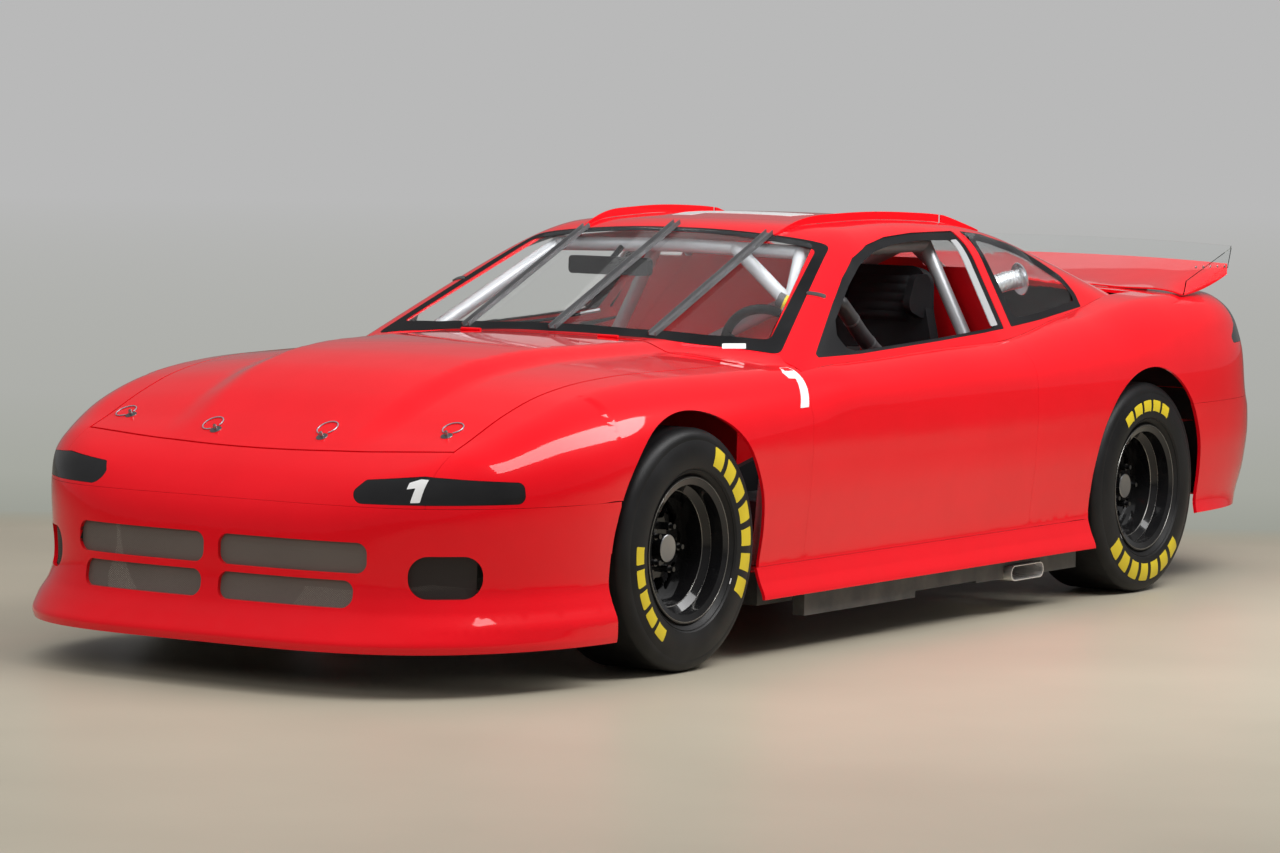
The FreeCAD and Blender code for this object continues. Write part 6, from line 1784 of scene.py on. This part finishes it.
@dataclass
class SeatPads:
    """Crowned pads and harness of the driver's seat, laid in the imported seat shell."""

    bench: TrimBench
    foot: Point = (400.0, 1740.0, 320.0)
    lean: float = 9.5
    channels: int = 5
    back_clear: float = 0.6
    base_place: tuple[float, float] = (-455.0, 40.6)
    base_pads: tuple[tuple[str, float, float, tuple[float, float], float], ...] = (
        ("seat_base_pad", 380.0, 380.0, (0.0, 12.0), 30.0),)
    back_pads: tuple[tuple[str, float, float, tuple[float, float], float], ...] = (
        # name, width, height, middle foot, depth
        ("seat_back_pad", 296.0, 400.0, (0.0, 78.0), 26.0),
        ("seat_head_pad", 230.0, 150.0, (0.0, 592.0), 26.0))
    web_width: float = 50.0
    web_sheet: float = 2.4
    # Places along the middle of the webbing: across, up or back, out
    shoulder: tuple[Point, ...] = ((60.0, 505.0, 1.0), (60.0, 486.0, 27.5), (56.0, 300.0, 32.0),
                                   (40.0, 120.0, 32.0))
    lap: tuple[Point, ...] = ((-186.0, 330.0, 26.0), (-90.0, 300.0, 40.0), (0.0, 290.0, 43.0),
                              (90.0, 300.0, 40.0), (186.0, 330.0, 26.0))
    buckle: Corners = ((0.0, 0.0), (26.0, 0.0), (28.0, 4.0), (26.0, 12.0), (0.0, 14.0))
    buckle_place: Point = (0.0, -165.0, 86.0)

    def build(self) -> None:
        """Makes the back pad, base pad, head pad and harness straps."""
        for lay, pads in ((self._on_back, self.back_pads), (self._on_base, self.base_pads)):
            for name, width, height, start, depth in pads:
                self._pad(name, lay, width, height, start, depth)
        self._harness()

    def _on_back(self, across: np.ndarray, up: np.ndarray, out: np.ndarray) -> np.ndarray:
        """Turns pad coordinates into places on the leaning backrest."""
        lean = math.radians(self.lean)
        forward = -(out + self.back_clear)
        y = self.foot[1] + forward * math.cos(lean) + up * math.sin(lean)
        z = self.foot[2] + up * math.cos(lean) + forward * -math.sin(lean)
        return np.column_stack((self.foot[0] + across, y, z))

    def _on_base(self, across: np.ndarray, up: np.ndarray, out: np.ndarray) -> np.ndarray:
        """Turns pad coordinates into places on the seat's base, front to rear."""
        x, y, z = self.foot
        forward, rise = self.base_place
        return np.column_stack((x + across, y + forward + up, z + rise + out))

    def _pad(self, name: str, lay: Lay, width: float, height: float, start: tuple[float, float],
             depth: float) -> None:
        """Makes one crowned pad whose sides pull in between its corners and whose face is sewn in channels.

        Args:
            name: The pad's name.
            lay: Turns (across, up, out) into drawing millimetres.
            width: Its width.
            height: Its height.
            start: Where its middle foot is.
            depth: Its thickness at the crown.
        """
        count_u, count_v = 31, 45
        u = np.linspace(-1.0, 1.0, count_u)
        v = np.linspace(-1.0, 1.0, count_v)
        grid_v, grid_u = np.meshgrid(v, u, indexing="ij")
        pull = 1 - 0.03 * (1 - grid_v ** 2)
        across = start[0] + grid_u * width / 2 * pull
        up = start[1] + (grid_v * (1 - 0.02 * (1 - grid_u ** 2)) + 1) * height / 2
        edge = (1 - np.abs(grid_u) ** 5) * (1 - np.abs(grid_v) ** 7)
        seams = np.abs(np.sin(math.pi * self.channels * (grid_v + 1) / 2)) ** 0.45
        out = depth * edge ** 0.42 * (0.72 + 0.28 * seams)
        top = lay(across.ravel(), up.ravel(), out.ravel())
        bottom = lay(across.ravel(), up.ravel(), np.zeros(out.size))
        count = count_u * count_v
        faces = []
        for row in range(count_v - 1):
            for col in range(count_u - 1):
                corner = row * count_u + col
                loop = (corner, corner + 1, corner + count_u + 1, corner + count_u)
                faces.append(loop)
                faces.append(tuple(index + count for index in reversed(loop)))
        mesh = mesh_from(name, np.vstack((top, bottom)), faces, 60.0)
        sheet = bmesh.new()
        sheet.from_mesh(mesh)
        bmesh.ops.remove_doubles(sheet, verts=sheet.verts, dist=1e-5)
        sheet.to_mesh(mesh)
        sheet.free()
        self.bench.place(mesh, SEAT_CLOTH, Slot.BLACK_TRIM)

    def _harness(self) -> None:
        """Two shoulder straps over the back pad and a lap strap over the base pad."""
        straps = [self._strap(self._on_back, [(side * across, up, out) for across, up, out in self.shoulder])
                  for side, _ in SIDES]
        straps.append(self._strap(self._on_base, self.lap, True))
        self.bench.place(join_meshes("harness_straps", straps), HARNESS_WEB, Slot.BLACK_TRIM)
        place = tuple(foot + shift for foot, shift in zip(self.foot, self.buckle_place))
        buckle = turned_mesh("harness_buckle", self.buckle, place, (0.0, 0.0, 1.0), 28)
        self.bench.place(buckle, BARE_STEEL, Slot.COLUMN)

    def _strap(self, lay: Lay, rows: Sequence[Point], across: bool = False) -> bpy.types.Mesh:
        """Flat webbing through a row of places."""
        path = curve_through(rows, 10)
        reach = self.web_width / 2
        half = np.array((0.0, reach, 0.0)) if across else np.array((reach, 0.0, 0.0))
        thick = np.array((0.0, 0.0, self.web_sheet))
        rings = np.stack((path - half, path + half, path + half + thick, path - half + thick), axis=1)
        flat = rings.reshape(-1, 3)
        points = lay(flat[:, 0], flat[:, 1], flat[:, 2])
        return mesh_from("strap", points, ring_faces(len(path), 4, closed_across=False))


@dataclass
class WheelTrim:
    """Bright hub discs, light metal rings on the rim's steps that stand for its bright reflections (painted
    highlight), and valve stems.
    """

    bench: TrimBench
    lip_x: float = 895.0
    hub_x: float = 822.4
    hub_radius: float = 39.0
    # Rings on the rim's steps, light where the gloss rim shows bright reflections: painted highlight.
    edges: tuple[tuple[float, float, float], ...] = (
        # radius, depth from the lip, half thickness
        (164.6, -63.0, 1.5), (184.6, -46.0, 0.8), (203.6, 0.2, 0.9))
    valve_place: tuple[float, float, float] = (172.0, -50.0, 205.0)

    def build(self) -> None:
        """Trims the four wheels."""
        for wheel in wheels():
            self._dress(wheel, np.array((wheel.side * self.lip_x, wheel.centre_y, AXLE_Z * 1000.0)))

    def _dress(self, wheel: Wheel, centre: np.ndarray) -> None:
        """Makes one wheel's disc, painted highlight rings and valve.

        Args:
            wheel: The wheel.
            centre: Middle of the rim's outer lip.
        """
        name, side, body = wheel.name, wheel.side, wheel.body
        way = (side, 0.0, 0.0)
        radius = self.hub_radius
        hub = centre + (side * (self.hub_x - self.lip_x), 0.0, 0.0)
        profile = [(0.0, 0.0), (radius, 0.0), (radius, 1.4), (radius - 2.0, 2.6), (radius - 9.0, 2.0),
                   (0.0, 2.2)]
        disc = turned_mesh("hub_disc_" + name, profile, tuple(hub), way, 40)
        self.bench.place(disc, BARE_STEEL, Slot.WHEEL_BLACK, body)
        # Painted highlight: light rings on the rim's steps.
        rings = []
        for ring_radius, depth, half in self.edges:
            turns = np.linspace(0.0, 2 * math.pi, 6, endpoint=False)
            section = [(ring_radius + half * math.cos(t), depth + half * math.sin(t)) for t in turns]
            rings.append(turned_mesh("edge", section, tuple(centre), way, 96, hollow=True))
        self.bench.place(join_meshes("rim_highlight_rings_" + name, rings), RIM_HIGHLIGHT_RING, Slot.WHEEL_BLACK, body)
        valve_radius, depth, angle = self.valve_place
        turn = math.radians(angle)
        spot = centre + (side * depth, valve_radius * math.cos(turn), valve_radius * math.sin(turn))
        stem = [(0.0, -8.0), (4.6, -8.0), (4.6, 4.0), (3.4, 6.0), (3.4, 22.0), (0.0, 23.0)]
        valve = turned_mesh("valve_" + name, stem, tuple(spot), way, 12)
        self.bench.place(valve, MATT_BLACK, Slot.WHEEL_BLACK, body)


@dataclass
class SpoilerTrim:
    """Rivets along the feet of the clear end fences."""

    bench: TrimBench
    fence_x: float = 789.7
    first: tuple[float, float] = (3285.0, 1050.0)
    last: tuple[float, float] = (3500.0, 1048.0)
    count: int = 5
    radius: float = 4.6

    def build(self) -> None:
        """Sets one row on each fence."""
        material = self.bench.shop.mix(BARE_STEEL)
        rivets = RivetNodes()
        for side, name in SIDES:
            start, end = (side * self.fence_x, *self.first), (side * self.fence_x, *self.last)
            mesh = rivets.row("fence_rivets_" + name, start, end, self.count, self.radius, (side, 0.0, 0.0),
                              material)
            self.bench.place(mesh, BARE_STEEL, Slot.COLUMN, Body.DECK_LID)


# ---- studio ----------------------------------------------------------------

@dataclass(frozen=True)
class Lamp:
    """A rectangular soft lamp.

    Args:
        name: Its name.
        place: Its middle.
        aim: The point that it faces.
        along: Direction of its length.
        size: Its width and length.
        level: Its brightness, where one is white.
        in_gloss: Whether its own image shows in glossy paint.
    """

    name: str
    place: Point
    aim: Point
    along: Point
    size: tuple[float, float]
    level: float
    in_gloss: bool = True

    def hang(self) -> None:
        """Hangs the lamp at a power that gives its level."""
        data = bpy.data.lights.new(self.name, "AREA")
        data.shape = "RECTANGLE"
        data.size, data.size_y = self.size
        data.energy = self.level * math.pi * self.size[0] * self.size[1]
        lamp = bpy.data.objects.new(self.name, data)
        back = (Vector(self.place) - Vector(self.aim)).normalized()
        across = Vector(self.along).cross(back).normalized()
        axes = Matrix((across, back.cross(across), back)).transposed().to_4x4()
        lamp.matrix_world = Matrix.Translation(self.place) @ axes
        lamp.visible_glossy = self.in_gloss
        bpy.context.scene.collection.objects.link(lamp)


@dataclass
class Studio:
    """Pale floor that runs into a glowing grey backdrop, darker near the car as painted shade, soft lamps and
    the camera.
    """

    floor_half: float = 300.0
    floor_drop: float = 0.001
    floor_colour: Colour = (0.46, 0.415, 0.325)
    wall_colour: Colour = (0.485, 0.485, 0.485)
    backdrop: tuple[tuple[float, Colour], ...] = (
        # distance behind the car's middle along the camera's view, colour there; the darker colours near the
        # car are painted shade
        (2.2, (0.34, 0.315, 0.24)),
        (2.9, (0.335, 0.345, 0.305)),
        (4.6, (0.38, 0.39, 0.35)),
        (9.4, (0.42, 0.425, 0.40)),
        (45.0, (0.485, 0.485, 0.485)),
    )
    lamps: tuple[Lamp, ...] = (
        Lamp("overhead", (-0.6, -1.6, 5.4), (-0.6, -1.6, 0.0), (0.0, 1.0, 0.0), (7.0, 11.0), 1.3, False),
        Lamp("shoulder_strip", (3.4, 0.3, 4.2), (0.4, 0.2, 0.6), (0.22, 1.0, 0.0), (1.7, 5.6), 9.0),
        Lamp("front_soft", (1.5, -8.5, 3.6), (0.0, -1.5, 0.4), (1.0, 0.0, 0.0), (2.4, 5.0), 3.2, False),
    )
    glow: float = 0.22
    camera_place: Point = (8.1058, -12.5163, 1.6816)
    camera_turn: float = 33.547
    camera_dip: float = 4.274
    camera_roll: float = 0.873
    lens: float = 133.65

    def build(self) -> None:
        """Builds floor, light and camera."""
        self._floor()
        for lamp in self.lamps:
            lamp.hang()
        self._room()
        self._camera()

    def _floor(self) -> None:
        """Lays a wide floor in faintly clouded concrete that turns into a glowing backdrop behind the car,
        darker near the car as painted shade.
        """
        mesh = bpy.data.meshes.new("floor")
        corners = [(x * self.floor_half, y * self.floor_half, -self.floor_drop)
                   for x, y in ((-1, -1), (1, -1), (1, 1), (-1, 1))]
        mesh.from_pydata(corners, [], [(0, 1, 2, 3)])
        floor = bpy.data.objects.new("floor", mesh)
        bpy.context.scene.collection.objects.link(floor)
        material, sheet, shader, out = start_material("pale_concrete")
        noise = sheet.add("ShaderNodeTexNoise")
        sheet.put(noise, "Scale", 0.9)
        sheet.put(noise, "Detail", 8.0)
        place = sheet.place()
        sheet.join(place, noise.inputs["Vector"])
        clouds = sheet.ramp(noise.outputs[0], 0.3, 0.7)
        dark = tuple(c * 0.9 for c in self.floor_colour)
        sheet.put(shader, "Base Color", sheet.blend(clouds, self.floor_colour, dark))
        sheet.put(shader, "Roughness", 0.42)
        sheet.put(shader, "Specular IOR Level", 0.35)
        turn = math.radians(self.camera_turn)
        along = sheet.add("ShaderNodeVectorMath", operation="DOT_PRODUCT")
        sheet.join(place, along.inputs[0])
        sheet.put(along, 1, (-math.sin(turn), math.cos(turn), 0.0))
        depth = along.outputs["Value"]
        # Painted shade: the glowing backdrop darkens towards the car.
        backdrop_painted_shade: object = self.backdrop[0][1]
        for (start, _), (stop, colour_there) in zip(self.backdrop, self.backdrop[1:]):
            backdrop_painted_shade = sheet.blend(sheet.ramp(depth, start, stop), backdrop_painted_shade, colour_there)
        wall = sheet.add("ShaderNodeEmission")
        sheet.put(wall, "Color", backdrop_painted_shade)
        start, stop = self.backdrop[0][0], self.backdrop[1][0]
        mask = sheet.math("MULTIPLY", sheet.ramp(depth, start, stop), sheet.seen_plainly())
        sheet.join(sheet.mix_shaders(mask, shader, wall).outputs[0], out.inputs[0])
        floor.data.materials.append(material)

    def _room(self) -> None:
        """Gives the room an even glow, seen as the plain wall."""
        world = bpy.data.worlds.new("room")
        world.use_nodes = True
        world.node_tree.nodes.clear()
        sheet = NodeSheet(world.node_tree)
        glow = sheet.add("ShaderNodeBackground")
        wall = sheet.add("ShaderNodeBackground")
        for node, colour, strength in ((glow, (1.0, 1.0, 1.0), self.glow), (wall, self.wall_colour, 1.0)):
            sheet.put(node, 0, (*colour, 1.0))
            sheet.put(node, 1, strength)
        mix = sheet.mix_shaders(sheet.seen_plainly(), glow, wall)
        out = sheet.add("ShaderNodeOutputWorld")
        sheet.join(mix.outputs[0], out.inputs[0])
        bpy.context.scene.world = world
        bpy.context.scene.view_settings.view_transform = "Standard"

    def _camera(self) -> None:
        """Sets the camera up on its stand."""
        turn = math.radians(self.camera_turn)
        dip = math.radians(self.camera_dip)
        roll = math.radians(self.camera_roll)
        back = Vector((math.sin(turn) * math.cos(dip), -math.cos(turn) * math.cos(dip), math.sin(dip)))
        right = Vector((math.cos(turn), math.sin(turn), 0.0))
        up = back.cross(right)
        across = math.cos(roll) * right + math.sin(roll) * up
        upward = -math.sin(roll) * right + math.cos(roll) * up
        data = bpy.data.cameras.new("stand_camera")
        data.lens = self.lens
        data.sensor_width = 36.0
        camera = bpy.data.objects.new("stand_camera", data)
        axes = Matrix((across, upward, back)).transposed().to_4x4()
        camera.matrix_world = Matrix.Translation(self.camera_place) @ axes
        bpy.context.scene.collection.objects.link(camera)
        bpy.context.scene.camera = camera


def main() -> None:
    """Builds every sub-assembly in order."""
    logging.basicConfig(level=logging.INFO, format="%(message)s")
    shop = Paintshop()
    shop.dress_frame()
    form = BodyForm()
    BodyShell(form, shop).build()
    bench = TrimBench(form, shop)
    for maker in (WindowTrim, Numerals, TyreMarks, HoodPins, CabinFittings, SheetMetal, SeatPads, WheelTrim,
                  SpoilerTrim):
        maker(bench).build()
    Studio().build()


if __name__ == "__main__":
    main()
